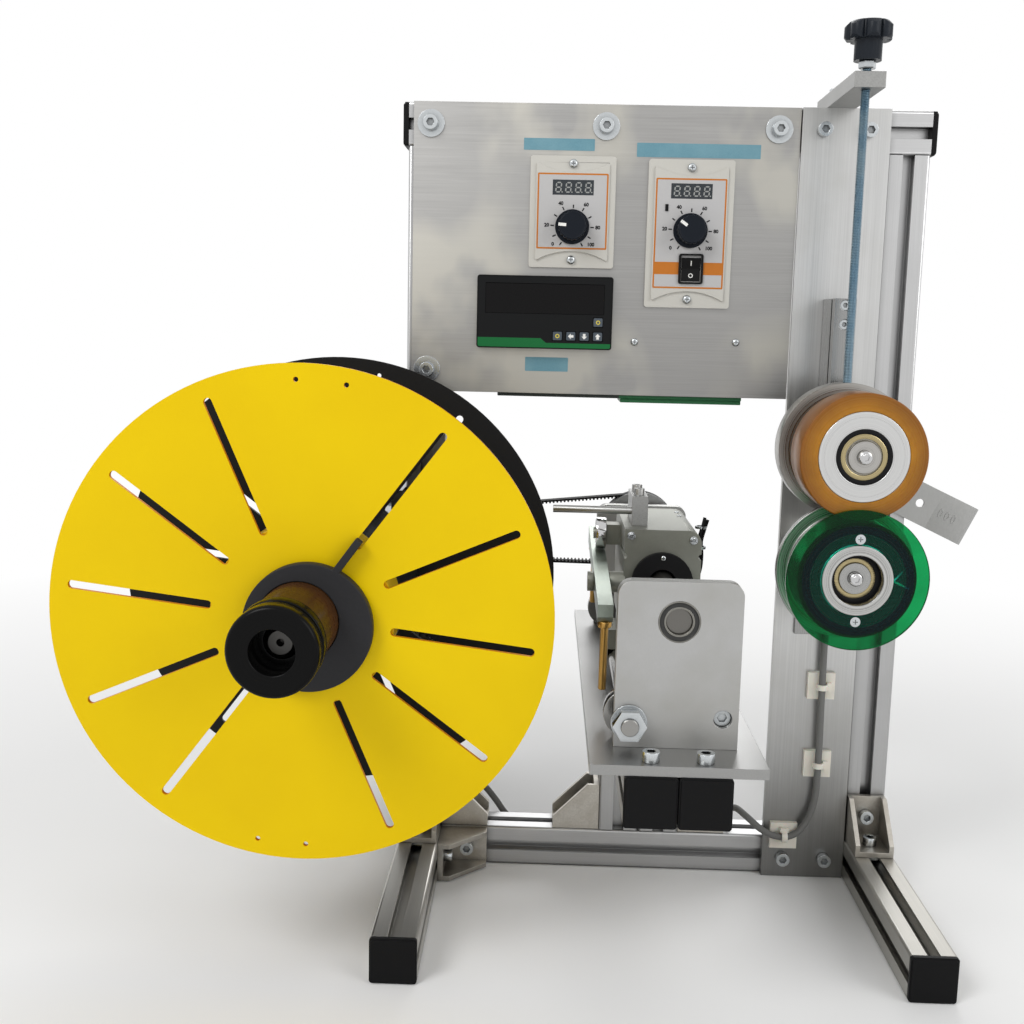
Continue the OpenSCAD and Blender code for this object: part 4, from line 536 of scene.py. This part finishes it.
class Shape:
    """Faces of one piece, gathered in drawing millimetres."""

    def __init__(self):
        self.bm = bmesh.new()

    def add(self, points, faces, at):
        """Faces over placed points; ones that repeat or fall flat are left out."""
        verts = [self.bm.verts.new(at @ Vector(p)) for p in points]
        for f in faces:
            if len(set(f)) >= 3:
                try:
                    self.bm.faces.new([verts[i] for i in f])
                except ValueError:
                    pass
        return self

    def slab(self, outline, z0, z1, at, holes=()):
        """Extruded outline, with holes right through it."""
        loops = [list(outline), *[list(h) for h in holes]]
        flat = [p for loop in loops for p in loop]
        n = len(flat)
        points = [(x, y, z0) for x, y in flat] + [(x, y, z1) for x, y in flat]
        caps = tessellate_polygon([[Vector((x, y, 0)) for x, y in loop] for loop in loops])
        faces = [tuple(t) for t in caps] + [tuple(i + n for i in reversed(t)) for t in caps]
        start = 0
        for loop in loops:
            m = len(loop)
            for i in range(m):
                a, b = start + i, start + (i + 1) % m
                faces.append((a, b, b + n, a + n))
            start += m
        return self.add(points, faces, at)

    def lathe(self, profile, at, n=48):
        """Closed profile of (r, z) turned about the local Z axis."""
        points, faces, m = [], [], len(profile)
        for c, s in circle(1, n):
            points += [(max(r, 1e-5) * c, max(r, 1e-5) * s, z) for r, z in profile]
        for i in range(n):
            for k in range(m):
                a, b = i * m + k, i * m + (k + 1) % m
                c, d = ((i + 1) % n) * m + (k + 1) % m, ((i + 1) % n) * m + k
                faces.append((a, b, c, d))
        return self.add(points, faces, at)

    def tube(self, path, r, n=12):
        """Round tube along a path of drawing points, with closed ends."""
        path = [Vector(p) for p in path]
        points, faces, side = [], [], None
        for i, p in enumerate(path):
            t = (path[min(i + 1, len(path) - 1)] - path[max(i - 1, 0)]).normalized()
            side = t.orthogonal() if side is None else side - t * side.dot(t)
            side.normalize()
            other = t.cross(side)
            points += [p + r * (side * c + other * s) for c, s in circle(1, n)]
        for i in range(len(path) - 1):
            for k in range(n):
                faces.append((i * n + k, i * n + (k + 1) % n, (i + 1) * n + (k + 1) % n, (i + 1) * n + k))
        faces.append(tuple(reversed(range(n))))
        faces.append(tuple((len(path) - 1) * n + k for k in range(n)))
        return self.add(points, faces, Matrix.Identity(4))

    def text(self, words, size, at):
        """Plain figures, centred on the local origin."""
        curve = bpy.data.curves.new("figures", "FONT")
        curve.body, curve.size, curve.extrude = words, size, 0.06
        curve.offset = 0.045 * size
        curve.align_x, curve.align_y = "CENTER", "CENTER"
        curve.resolution_u = 3
        holder = new_object("figures", curve)
        bpy.context.view_layer.update()
        mesh = bpy.data.meshes.new_from_object(holder.evaluated_get(bpy.context.evaluated_depsgraph_get()))
        points = [v.co.copy() for v in mesh.vertices]
        faces = [tuple(p.vertices) for p in mesh.polygons]
        bpy.data.objects.remove(holder)
        bpy.data.curves.remove(curve)
        bpy.data.meshes.remove(mesh)
        return self.add(points, faces, at)

    def make(self, name, look, body, slot, bevel=0.0, smooth=35):
        """The finished object, riding on a body."""
        bmesh.ops.remove_doubles(self.bm, verts=self.bm.verts, dist=1e-4)
        bmesh.ops.recalc_face_normals(self.bm, faces=self.bm.faces)
        for v in self.bm.verts:
            v.co = place(*v.co)
        mesh = bpy.data.meshes.new(name)
        self.bm.to_mesh(mesh)
        self.bm.free()
        mesh.materials.append(MATS[look])
        mesh.shade_smooth()
        mesh.set_sharp_from_angle(angle=math.radians(smooth))
        obj = new_object(name, mesh)
        if bevel:
            made = obj.modifiers.new("bevel", "BEVEL")
            made.width, made.segments = bevel / 1000, 2
            made.limit_method, made.angle_limit = "ANGLE", math.radians(35)
        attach(obj, body)
        return obj


def pan_screw(shape, at, d, h):
    """Round-headed screw with a cross recess, its head seated at local z = 0."""
    r = d / 2
    inner = 0.62 * r
    shape.lathe([(0, 0), (r, 0), (r, 0.3 * h), (0.95 * r, 0.62 * h), (0.8 * r, 0.88 * h), (inner, h),
                 (inner, 0.35 * h), (0, 0.35 * h)], at, 32)
    shape.slab(circle(inner, 32), 0.35 * h, 1.02 * h, at, [cross_outline(0.48 * r, 0.2 * r)])


def socket_screw(shape, at, d, h):
    """Cylinder-headed screw with a hexagon socket, its head seated at local z = 0."""
    r = d / 2
    inner = 0.74 * r
    shape.lathe([(0, 0), (r, 0), (r, 0.88 * h), (0.95 * r, h), (inner, h), (inner, 0.4 * h), (0, 0.4 * h)], at, 32)
    shape.slab(circle(inner, 32), 0.4 * h, h, at, [circle(0.5 * r, 6)])


# Control panel: bare label strips, screws, unit faces with their dials, displays and meter face
FACE_Y, UNIT_Y, UNIT_EAR_Y, METER_Y, KEY_Y = -3.0, -7.0, -5.5, -11.0, -11.8
SPEED_DIAL, TORQUE_DIAL, SWITCH = (116.5, 478.3), (199.3, 477.3), (200.8, 451.0)
METER_BOX = (50.7, 393.0, 96.0, 51.0)


def panel_trim():
    """Bare label strips and small screws."""
    labels = Shape()
    for box in ((81.2, 530.8, 130.8, 538.9), (160.3, 527.4, 246.5, 537.0), (85.6, 376.9, 116.4, 386.9)):
        labels.slab(rect(*box, 0.5), 0, 0.2, to_front(0, FACE_Y, 0))
    labels.make("panel_labels", "label", "frame", "panel")
    screws = Shape()
    for x, z in ((163.4, 399.2), (235.5, 400.4)):
        pan_screw(screws, to_front(x, FACE_Y, z), 5.4, 2.0)
    for x, z in ((116.3, 521.6), (116.3, 455.6), (199.0, 520.4), (199.0, 429.8)):
        pan_screw(screws, to_front(x, UNIT_EAR_Y, z), 6.2, 2.3)
    screws.make("panel_screws", "zinc", "frame", "zinc")


def seven_segments(shape, cx, cz, height, at_y):
    """One figure with every bar showing, and its point."""
    h, w, t, lean = height / 2, height * 0.27, height * 0.07, 0.10
    bars = [((-w, h), (w, h)), ((-w, 0), (w, 0)), ((-w, -h), (w, -h)), ((-w, 0), (-w, h)), ((w, 0), (w, h)),
            ((-w, -h), (-w, 0)), ((w, -h), (w, 0))]
    for (x0, z0), (x1, z1) in bars:
        dx, dz = x1 - x0, z1 - z0
        size = math.hypot(dx, dz)
        ux, uz = dx / size, dz / size
        gap = t * 0.75

        def off(p, ahead, aside):
            return p[0] + ux * ahead - uz * aside, p[1] + uz * ahead + ux * aside

        a = (x0 + ux * gap, z0 + uz * gap)
        b = (x1 - ux * gap, z1 - uz * gap)
        outline = [a, off(a, t, t), off(b, -t, t), b, off(b, -t, -t), off(a, t, -t)]
        shape.slab([(cx + x + lean * z, cz + z) for x, z in outline], 0, 0.06, to_front(0, at_y, 0))
    shape.slab(circle(t * 1.1, 10, cx + w * 1.62 - lean * h, cz - h), 0, 0.06, to_front(0, at_y, 0))


def unit_face(label, knob, inks):
    """Printed face of a unit: orange border, grey field, display window, dial marks."""
    x0, z0, x1, z1 = label
    kx, kz = knob
    border, tick_in, tick_out, tick_half, figures_r = 1.1, 12.8, 15.3, 0.45, 18.0
    field = rect(x0 + border, z0 + border, x1 - border, z1 - border, 0.3)
    window = rect(kx - 14.4, kz + 21.8, kx + 14.4, kz + 32.2)
    at = to_front(0, UNIT_Y, 0)
    inks["orange"].slab(rect(x0, z0, x1, z1, 0.8), 0, 0.14, at, [field])
    inks["face"].slab(field, 0, 0.12, at, [window])
    inks["window"].slab(window, -0.7, 0.04, at)
    for i in range(4):
        seven_segments(inks["segment"], kx - 10.2 + 6.9 * i, kz + 27.0, 6.4, UNIT_Y - 0.05)
    for i in range(11):
        a = math.radians(236 - 29.6 * i)
        inks["ink"].slab(rect(tick_in, -tick_half, tick_out, tick_half), 0, 0.18,
                         to_front(kx, UNIT_Y, kz) @ Matrix.Rotation(a, 4, "Z"))
        if i % 2 == 0:
            a += math.radians({0: -14, 10: 18}.get(i, 0))
            x, z = kx + figures_r * math.cos(a), kz + figures_r * math.sin(a)
            inks["ink"].text(str(10 * i), 3.4, to_front(x, UNIT_Y - 0.14, z))


def knob_pointer(name, body, x, z, angle):
    """White pointer bar let into the knob's top, and the raised ring round that top."""
    gap, height = 0.3, 14
    top = UNIT_Y - gap - height
    pointer = Shape()
    pointer.slab(rect(4.4, -1.05, 9.8, 1.05, 0.25), -0.4, 0.12,
                 to_front(x, top, z) @ Matrix.Rotation(math.radians(angle), 4, "Z"))
    pointer.make(name + "_pointer", "white_ink", body, "ivory")
    cap = Shape()
    cap.lathe([(8.3, -0.3), (9.1, -0.3), (9.1, 0.0), (8.8, 0.14), (8.3, 0.0)], to_front(x, top, z), 48)
    cap.make(name + "_knob_ring", "knob", body, "black")


def unit_faces():
    """Faces, switch frame and knob marks of the two units."""
    inks = {k: Shape() for k in ("orange", "face", "window", "segment", "ink")}
    unit_face((91.6, 463.0, 141.0, 515.0), SPEED_DIAL, inks)
    unit_face((174.3, 437.4, 223.7, 513.0), TORQUE_DIAL, inks)
    # Orange band beside the rocker switch
    band = Shape()
    for x0, x1 in ((175.4, 192.2), (209.4, 222.6)):
        band.slab(rect(x0, 447.0, x1, 455.6), 0, 0.2, to_front(0, UNIT_Y, 0))
    band.make("unit_band", "orange", "frame", "ivory")
    bezel = Shape()
    bezel.slab(rect(-8.65, -10.45, 8.65, 10.45, 1.6), 0, 1.62, to_front(SWITCH[0], UNIT_Y, SWITCH[1]),
               [rect(-6.85, -9.15, 6.85, 9.15, 0.4)])
    bezel.make("switch_bezel", "black", "frame", "black", bevel=0.35)
    slider = Shape()
    slider.slab(rect(181.2, 490.4, 183.4, 495.2, 0.3), 0, 0.7, to_front(0, UNIT_Y, 0))
    slider.make("mode_switch", "black", "frame", "black", bevel=0.15)
    inks["orange"].make("unit_borders", "orange", "frame", "ivory")
    inks["face"].make("unit_faces", "face_grey", "frame", "ivory")
    inks["window"].make("unit_windows", "window", "frame", "meter")
    inks["segment"].make("unit_segments", "segment", "frame", "ivory")
    inks["ink"].make("dial_marks", "ink", "frame", "black")
    knob_pointer("speed", "speed_knob", *SPEED_DIAL, 176)
    knob_pointer("torque", "torque_knob", *TORQUE_DIAL, 145)


def meter_face():
    """Green band, lens and raised rim of the meter."""
    x0, z0, w, h = METER_BOX
    at = to_front(0, METER_Y, 0)
    band = Shape()
    low, high, edge = 4.2, 7.4, 0.9
    band.slab([(x0 + edge, z0 + edge), (x0 + w - edge, z0 + edge), (x0 + w - edge, z0 + low), (x0 + 49.5, z0 + low),
               (x0 + 45.5, z0 + high), (x0 + edge, z0 + high)], 0, 0.12, at)
    band.make("meter_band", "band_green", "frame", "driver")
    lens = Shape()
    lens.slab(rect(x0 + 6.2, z0 + 24.7, x0 + 89.8, z0 + 45.3), -0.98, -0.03, at)
    lens.make("meter_lens", "lens", "frame", "meter")
    rim = Shape()
    rim.slab(rect(x0 + 0.1, z0 + 0.1, x0 + w - 0.1, z0 + h - 0.1, 1.9), -0.4, 0.16, at,
             [rect(x0 + 0.9, z0 + 0.9, x0 + w - 0.9, z0 + h - 0.9, 1.3)])
    rim.make("meter_rim", "cap_black", "frame", "meter")


def key_marks():
    """Plain arrows and rings on the keys."""
    arrow = [(-2.0, 0), (0, 2.0), (0, 0.9), (1.9, 0.9), (1.9, -0.9), (0, -0.9), (0, -2.0)]
    turns = {"key_left": 0, "key_down": 90, "key_up": -90}
    for key, (x, z) in KEYS.items():
        at = to_front(x, KEY_Y, z)
        mark = Shape()
        if key in turns:
            mark.slab(arrow, 0, 0.06, at @ Matrix.Rotation(math.radians(turns[key]), 4, "Z"))
            mark.make(key + "_mark", "white_ink", key, "ivory")
        else:
            mark.slab(circle(1.5, 24), 0, 0.06, at, [circle(0.85, 24)])
            mark.make(key + "_mark", "yellow_ink", key, "yellow")


def rocker_marks():
    """Plain on and off signs on the switch, tilted with it."""
    at = to_front(SWITCH[0], -6.0, SWITCH[1]) @ Matrix.Rotation(math.radians(9), 4, "X")
    slope = math.atan2(1.8, 8.2)
    marks = Shape()
    upper = at @ Matrix.Translation((0, 4.3, 2.34)) @ Matrix.Rotation(slope, 4, "X")
    lower = at @ Matrix.Translation((0, -4.3, 2.34)) @ Matrix.Rotation(-slope, 4, "X")
    marks.slab(rect(-0.32, -1.8, 0.32, 1.8), -0.1, 0.08, upper)
    marks.slab(circle(1.6, 28), -0.1, 0.08, lower, [circle(1.05, 28)])
    marks.make("rocker_marks", "white_ink", "rocker", "ivory")


panel_trim()
unit_faces()
meter_face()
key_marks()
rocker_marks()


# Rollers, strip and carriage: bearing faces, screws, dimples and strands
def bearing_trim(name, z, y, outer, body):
    """Dark seal and pale shield on the front of a bearing, from its outer radius inwards."""
    at = to_front(ROLLER_X, y, z)
    seal = ((-2.9, -0.6), (0, -0.6), (0, 0.5), (-0.7, 0.75), (-2.3, 0.75), (-2.9, 0.4))
    shield = ((-5.9, -0.6), (-3, -0.6), (-3, 0.25), (-3.6, 0.5), (-5.3, 0.5), (-5.9, 0.2))
    for look, slot, profile in (("seal", "black", seal), ("shield", "brass", shield)):
        ring = Shape().lathe([(r + outer, h) for r, h in profile], at, 64)
        ring.make(f"{name}_{look}", look, body, slot)


def axle_screw(name, z, y, body):
    """Round-headed socket screw on an axle end."""
    at = to_front(ROLLER_X, y, z)
    head = Shape()
    top, floor, inner = 2.2, 0.7, 2.9
    head.lathe([(0, -0.3), (4.6, -0.3), (4.6, 0.5), (4.4, 1.2), (3.9, 1.8), (3.1, top), (inner, top),
                (inner, floor), (0, floor)], at, 48)
    head.slab(circle(inner, 48), floor, top, at, [circle(2.2, 6, start=0.3)])
    head.make(name, "chrome", body, "zinc")


def strip_dimples():
    """Three pressed oval dimples on the bent wing of the strip."""
    dimples = Shape()
    strip = to_front(350.0, -2.0, 299.6) @ Matrix.Rotation(math.radians(-25), 4, "Z")
    wing = strip @ Matrix.Translation((39.0, 0, 0)) @ Matrix.Rotation(math.radians(-10), 4, "Y")
    for along in (4.5, 9.5, 14.5):
        ovals = [[(along + 1.5 * k * math.cos(t / 12 * math.pi), 3.4 * k * math.sin(t / 12 * math.pi))
                  for t in range(24)] for k in (1.0, 0.62)]
        dimples.slab(ovals[0], -0.3, 0.3, wing, [ovals[1]])
    dimples.make("strip_dimples", "strip", "frame", "guide", bevel=0.15)


def disc_screws():
    """Two countersunk cross screws in the green disc."""
    screws = Shape()
    for dz in (26.5, -26.5):
        at = to_front(ROLLER_X, -127.5, METER_Z + dz)
        screws.lathe([(0, -1.1), (2.2, -1.1), (3.2, -0.1), (3.2, 0.1), (2.0, 0.25), (2.0, -0.7), (0, -0.7)], at, 32)
        screws.slab(circle(2.0, 32), -0.7, 0.27, at, [cross_outline(1.55, 0.62)])
    screws.make("disc_screws", "zinc", "meter_wheel", "zinc")


def carriage_trim():
    """Screws of the carriage, and the dark strands on its right side."""
    screws = Shape()
    for x, z in ((159.2, 275.6), (199.6, 273.6), (159.2, 215.2), (200.8, 215.2)):
        socket_screw(screws, to_front(x, -103.0, z), 5.4, 1.2)
    pan_screw(screws, to_front(180.0, -107.0, 262.0), 3.4, 1.0)
    for y in (-40.0, -24.0):
        pan_screw(screws, to_up(196.5, y, 279.8), 3.4, 0.7)
    screws.make("carriage_screws", "zinc", "carriage", "zinc")
    strands = Shape()
    for k, (dx, dy) in enumerate(((0, 0), (2.4, 3.0), (0.8, 6.0))):
        route = [(205.0, -60 + dy, 232.0)]
        route += [(x + dx, y + dy, z) for x, y, z in (
            (207.6, -62, 244.0), (208.4, -64, 256.0), (207.4, -66, 266.0), (209.4, -66, 275.0),
            (211.2, -65, 283.0 - 2 * k))]
        strands.tube(smooth_path([Vector(p) for p in route]), 1.15, 10)
    strands.make("carriage_wires", "seal", "carriage", "black", smooth=60)
    ties = Shape()
    for z in (262.0, 276.0):
        ties.lathe([(3.0, -0.9), (4.0, -0.9), (4.0, 0.9), (3.0, 0.9)], to_up(209.0, -63.0, z), 24)
    ties.make("carriage_ties", "zinc", "carriage", "zinc", bevel=0.2)


bearing_trim("roller", ROLLER_Z, -123.0, 17.5, "slider")
bearing_trim("meter", METER_Z, -119.0, 15.95, "frame")
axle_screw("roller_axle_screw", ROLLER_Z, -126.3, "slider")
axle_screw("meter_axle_screw", METER_Z, -122.3, "frame")
strip_dimples()
disc_screws()
carriage_trim()


# Rear: terminals of the meter and the units, end bells and screws of the gear motor
def terminal_row(block, screws, x, y, z, count, pitch=8.6):
    """Row of screw terminals on a rear face, from a corner at the left as seen from the front."""
    upright = Matrix.Rotation(math.radians(90), 4, "X") @ Matrix.Scale(-1, 4, (0, 0, 1))
    at = Matrix.Translation((0, y, 0)) @ upright
    height, depth = 11, 5.0
    block.slab(rect(x, z, x + count * pitch + 2, z + height, 0.4), 0, depth, at)
    for i in range(count + 1):
        rib = x + i * pitch + 0.6
        block.slab(rect(rib, z, rib + 0.9, z + height), 4.6, 7.0, at)
    for i in range(count):
        pan_screw(screws, to_back(x + (i + 0.5) * pitch + 1, y + depth, z + height / 2), 5.6, 1.6)


def rear_trim():
    """Terminals, screws and vents of the boxes behind the panel, and the bells of the motor."""
    meter_back, unit_back, driver_back, gearbox_back = 70.0, 48.0, 36.0, 171.0
    block, screws = Shape(), Shape()
    for x, y, z, count in ((58.7, meter_back, 399.5, 9), (58.7, meter_back, 426.5, 9), (93.5, unit_back, 457.0, 5),
                           (176.5, unit_back, 431.0, 5)):
        terminal_row(block, screws, x, y, z, count)
    block.make("rear_terminals", "cap_black", "frame", "black", bevel=0.2)
    for x, z in ((159.0, 359.5), (238.0, 359.5), (159.0, 407.0), (238.0, 407.0)):
        pan_screw(screws, to_back(x, driver_back, z), 5.0, 1.6)
    for dx in (-26.5, 26.5):
        for dz in (-26.5, 26.5):
            socket_screw(screws, to_back(REEL[0] + dx, gearbox_back, REEL[1] + dz), 6.4, 3.0)
    screws.make("rear_screws", "zinc", "frame", "zinc")
    vents, pitch = Shape(), 6
    for x, low, high in ((98.0, 478.0, 506.0), (181.0, 468.0, 504.0)):
        for i in range(int((high - low) / pitch) + 1):
            z = low + pitch * i
            vents.slab(rect(-x - 36.0, z, -x, z + 2.2, 1.0), -0.3, 0.08, to_back(0, unit_back, 0))
    vents.make("unit_vents", "seal", "frame", "black")
    bells = Shape()
    for y0, y1 in ((gearbox_back, 180.0), (228.0, 240.9)):
        bells.lathe([(28.5, 0), (29.6, 0.0), (29.6, y1 - y0 - 0.8), (28.9, y1 - y0), (28.5, y1 - y0)],
                    to_back(REEL[0], y0, REEL[1]), 72)
    bells.make("motor_bells", "housing", "frame", "motor")


rear_trim()


# Pressure screw: threaded rod with its lock nut, in place of the plain CAD rod
def threaded_rod():
    """Helical thread on a plain core, and the nut under the star knob."""
    x, y, z0, z1 = ROLLER_X, -67.5, 368.5, 599.0
    pitch, outer, root, steps = 1.0, 2.98, 2.5, 20
    rod = Shape()
    turns = int((z1 - z0 - 3) / pitch)
    points, faces = [], []
    count = turns * steps
    for i in range(count + 1):
        a, z = 2 * math.pi * i / steps, z0 + 1.0 + pitch * i / steps
        c, s = math.cos(a), math.sin(a)
        points += [(x + root * c, y + root * s, z - 0.3 * pitch), (x + outer * c, y + outer * s, z)]
    for i in range(count):
        a, b = 2 * i, 2 * i + 2
        faces.append((a, b, b + 1, a + 1))
        if i + steps <= count:
            low = 2 * (i + steps)
            faces.append((a + 1, b + 1, low + 2 if i + steps < count else low, low))
    rod.add(points, faces, Matrix.Identity(4))
    rod.lathe([(0, z0), (2.2, z0), (2.55, z0 + 0.6), (2.55, z1), (0, z1)], Matrix.Translation((x, y, 0)), 24)
    obj = rod.make("threaded_rod", "screw", "screw", "screw", smooth=50)
    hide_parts("pressure_screw")
    nut = Shape()
    nut.lathe([(5.0, 575.5), (5.6, 576.2), (5.6, 579.8), (5.0, 580.5), (2.6, 580.5), (2.6, 575.5)],
              Matrix.Translation((x, y, 0)), 6)
    nut.make("knob_nut", "zinc", "screw", "screw")


threaded_rod()


# Sensor cable: one smooth sheathed lead along the CAD route
CABLE_Y, BACK_Y, CABLE_R = -11.8, 36.8, 2.5


def cable_route():
    """From the sensor down the guide plate, behind the crossbar and up the left upright to the meter."""
    front = [(8.5, -31.7, 225.7), (8.5, -27, 225.2), (8.5, -21.5, 221.5), (8.7, -17, 215), (8.9, -13.5, 206)]
    front += [(dx, CABLE_Y, z) for dx, z in (
        (9.1, 195), (9.2, 183), (9.3, 168), (9.5, 151), (9.6, 136), (9.8, 121), (10, 106), (10, 91), (9.9, 78),
        (9.3, 66), (7.1, 55), (3.1, 45.5), (-3, 37.5), (-11.9, 34), (-21.5, 35.5), (-30, 40))]
    front += [(-37, -10, 45.5), (-42.5, -5, 49), (-46, 3, 49.5), (-48, 11, 46.5), (-49, 19, 43), (-50, 27, 38.5),
              (-52, 33, 32), (-57.5, BACK_Y, 25), (-65.5, BACK_Y, 20), (-75.5, BACK_Y, 16.5), (-87.5, BACK_Y, 15.2)]
    route = [(ROLLER_X + dx, y, z) for dx, y, z in front]
    route += [(200 - 15 * k, BACK_Y, 15) for k in range(8)]
    route += [(85, 37.2, 18.5), (77, 38, 26), (70, 39, 35.5), (62, 40, 45), (53, 40.5, 54), (44, 40.5, 63),
              (35.5, 40, 72), (28, 39.2, 81.5), (21.5, 38.2, 91), (17.2, 37.2, 101), (15.3, BACK_Y, 110.5)]
    route += [(15, BACK_Y, 120 + 13.75 * k) for k in range(17)]
    route += [(METER_BOX[0] + dx, y, 361 + dz) for dx, y, dz in (
        (-35.1, 37, -8), (-32.9, 38.5, 4), (-28.7, 42, 15.5), (-23.2, 47.5, 25.5), (-17.7, 52.5, 34),
        (-12.2, 55.8, 42), (-6.2, 57.5, 47.5), (2.3, 57.8, 50))]
    return [Vector(p) for p in route]


def sensor_lead():
    """The lead as one tube, in place of the CAD cable."""
    path = smooth_path(cable_route())
    lead = Shape().tube(path, CABLE_R, 14).make("sensor_lead", "cable", "frame", "cable", smooth=60)
    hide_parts("sensor_cable")


sensor_lead()


# Stage: pale floor that fades to white, white world, soft lamps
def new_tree(owner, *kinds):
    """The owner's node tree, emptied, and new nodes in it."""
    owner.use_nodes = True
    tree = owner.node_tree
    tree.nodes.clear()
    return tree, *(tree.nodes.new("ShaderNode" + kind) for kind in kinds)


def make_floor():
    half, drop, fade_from, fade_to = 30.0, 0.0003, 0.5, 1.3
    mesh = bpy.data.meshes.new("floor")
    mesh.from_pydata([(-half, -half, 0), (half, -half, 0), (half, half, 0), (-half, half, 0)], [], [(0, 1, 2, 3)])
    floor = new_object("floor", mesh)
    floor.location.z = -drop
    mat = bpy.data.materials.new("floor")
    tree, out, paint, glow, coords, reach, fade, mix = new_tree(
        mat, "OutputMaterial", "BsdfDiffuse", "Emission", "TexCoord", "VectorMath", "MapRange", "MixShader")
    paint.inputs["Color"].default_value = (0.93, 0.93, 0.925, 1)
    reach.operation = "LENGTH"
    fade.inputs[1].default_value, fade.inputs[2].default_value = fade_from, fade_to
    for source, target in ((coords.outputs["Object"], reach.inputs[0]), (reach.outputs["Value"], fade.inputs[0]),
                           (fade.outputs[0], mix.inputs[0]), (paint.outputs[0], mix.inputs[1]),
                           (glow.outputs[0], mix.inputs[2]), (mix.outputs[0], out.inputs[0])):
        tree.links.new(source, target)
    mesh.materials.append(mat)


def make_world():
    """White where it is seen, mirrored or looked through, and softer as a light."""
    world = bpy.data.worlds.new("studio")
    bpy.context.scene.world = world
    tree, out, soft, white, path, mirrored, through, mix = new_tree(
        world, "OutputWorld", "Background", "Background", "LightPath", "Math", "Math", "MixShader")
    for shader, strength in ((soft, 0.5), (white, 1.0)):
        shader.inputs["Color"].default_value = (1, 1, 1, 1)
        shader.inputs["Strength"].default_value = strength
    mirrored.operation = through.operation = "MAXIMUM"
    for source, target in ((path.outputs["Is Camera Ray"], mirrored.inputs[0]),
                           (path.outputs["Is Glossy Ray"], mirrored.inputs[1]),
                           (mirrored.outputs[0], through.inputs[0]),
                           (path.outputs["Is Transmission Ray"], through.inputs[1]),
                           (through.outputs[0], mix.inputs[0]), (soft.outputs[0], mix.inputs[1]),
                           (white.outputs[0], mix.inputs[2]), (mix.outputs[0], out.inputs[0])):
        tree.links.new(source, target)


def make_lamps():
    aim = Vector((0, 0, 0.3))
    for name, spot, size, watts in (("key", (-1.3, -1.6, 1.9), 1.2, 26), ("fill", (1.7, -1.3, 1.2), 1.4, 13),
                                    ("rear", (0.3, 1.9, 1.7), 1.4, 16)):
        light = bpy.data.lights.new(name, "AREA")
        light.shape, light.size, light.energy = "DISK", size, watts
        lamp = new_object(name, light)
        lamp.location = spot
        lamp.rotation_euler = (aim - Vector(spot)).to_track_quat("-Z", "Y").to_euler()


make_floor()
make_world()
make_lamps()
bpy.context.scene.view_settings.view_transform = "Standard"
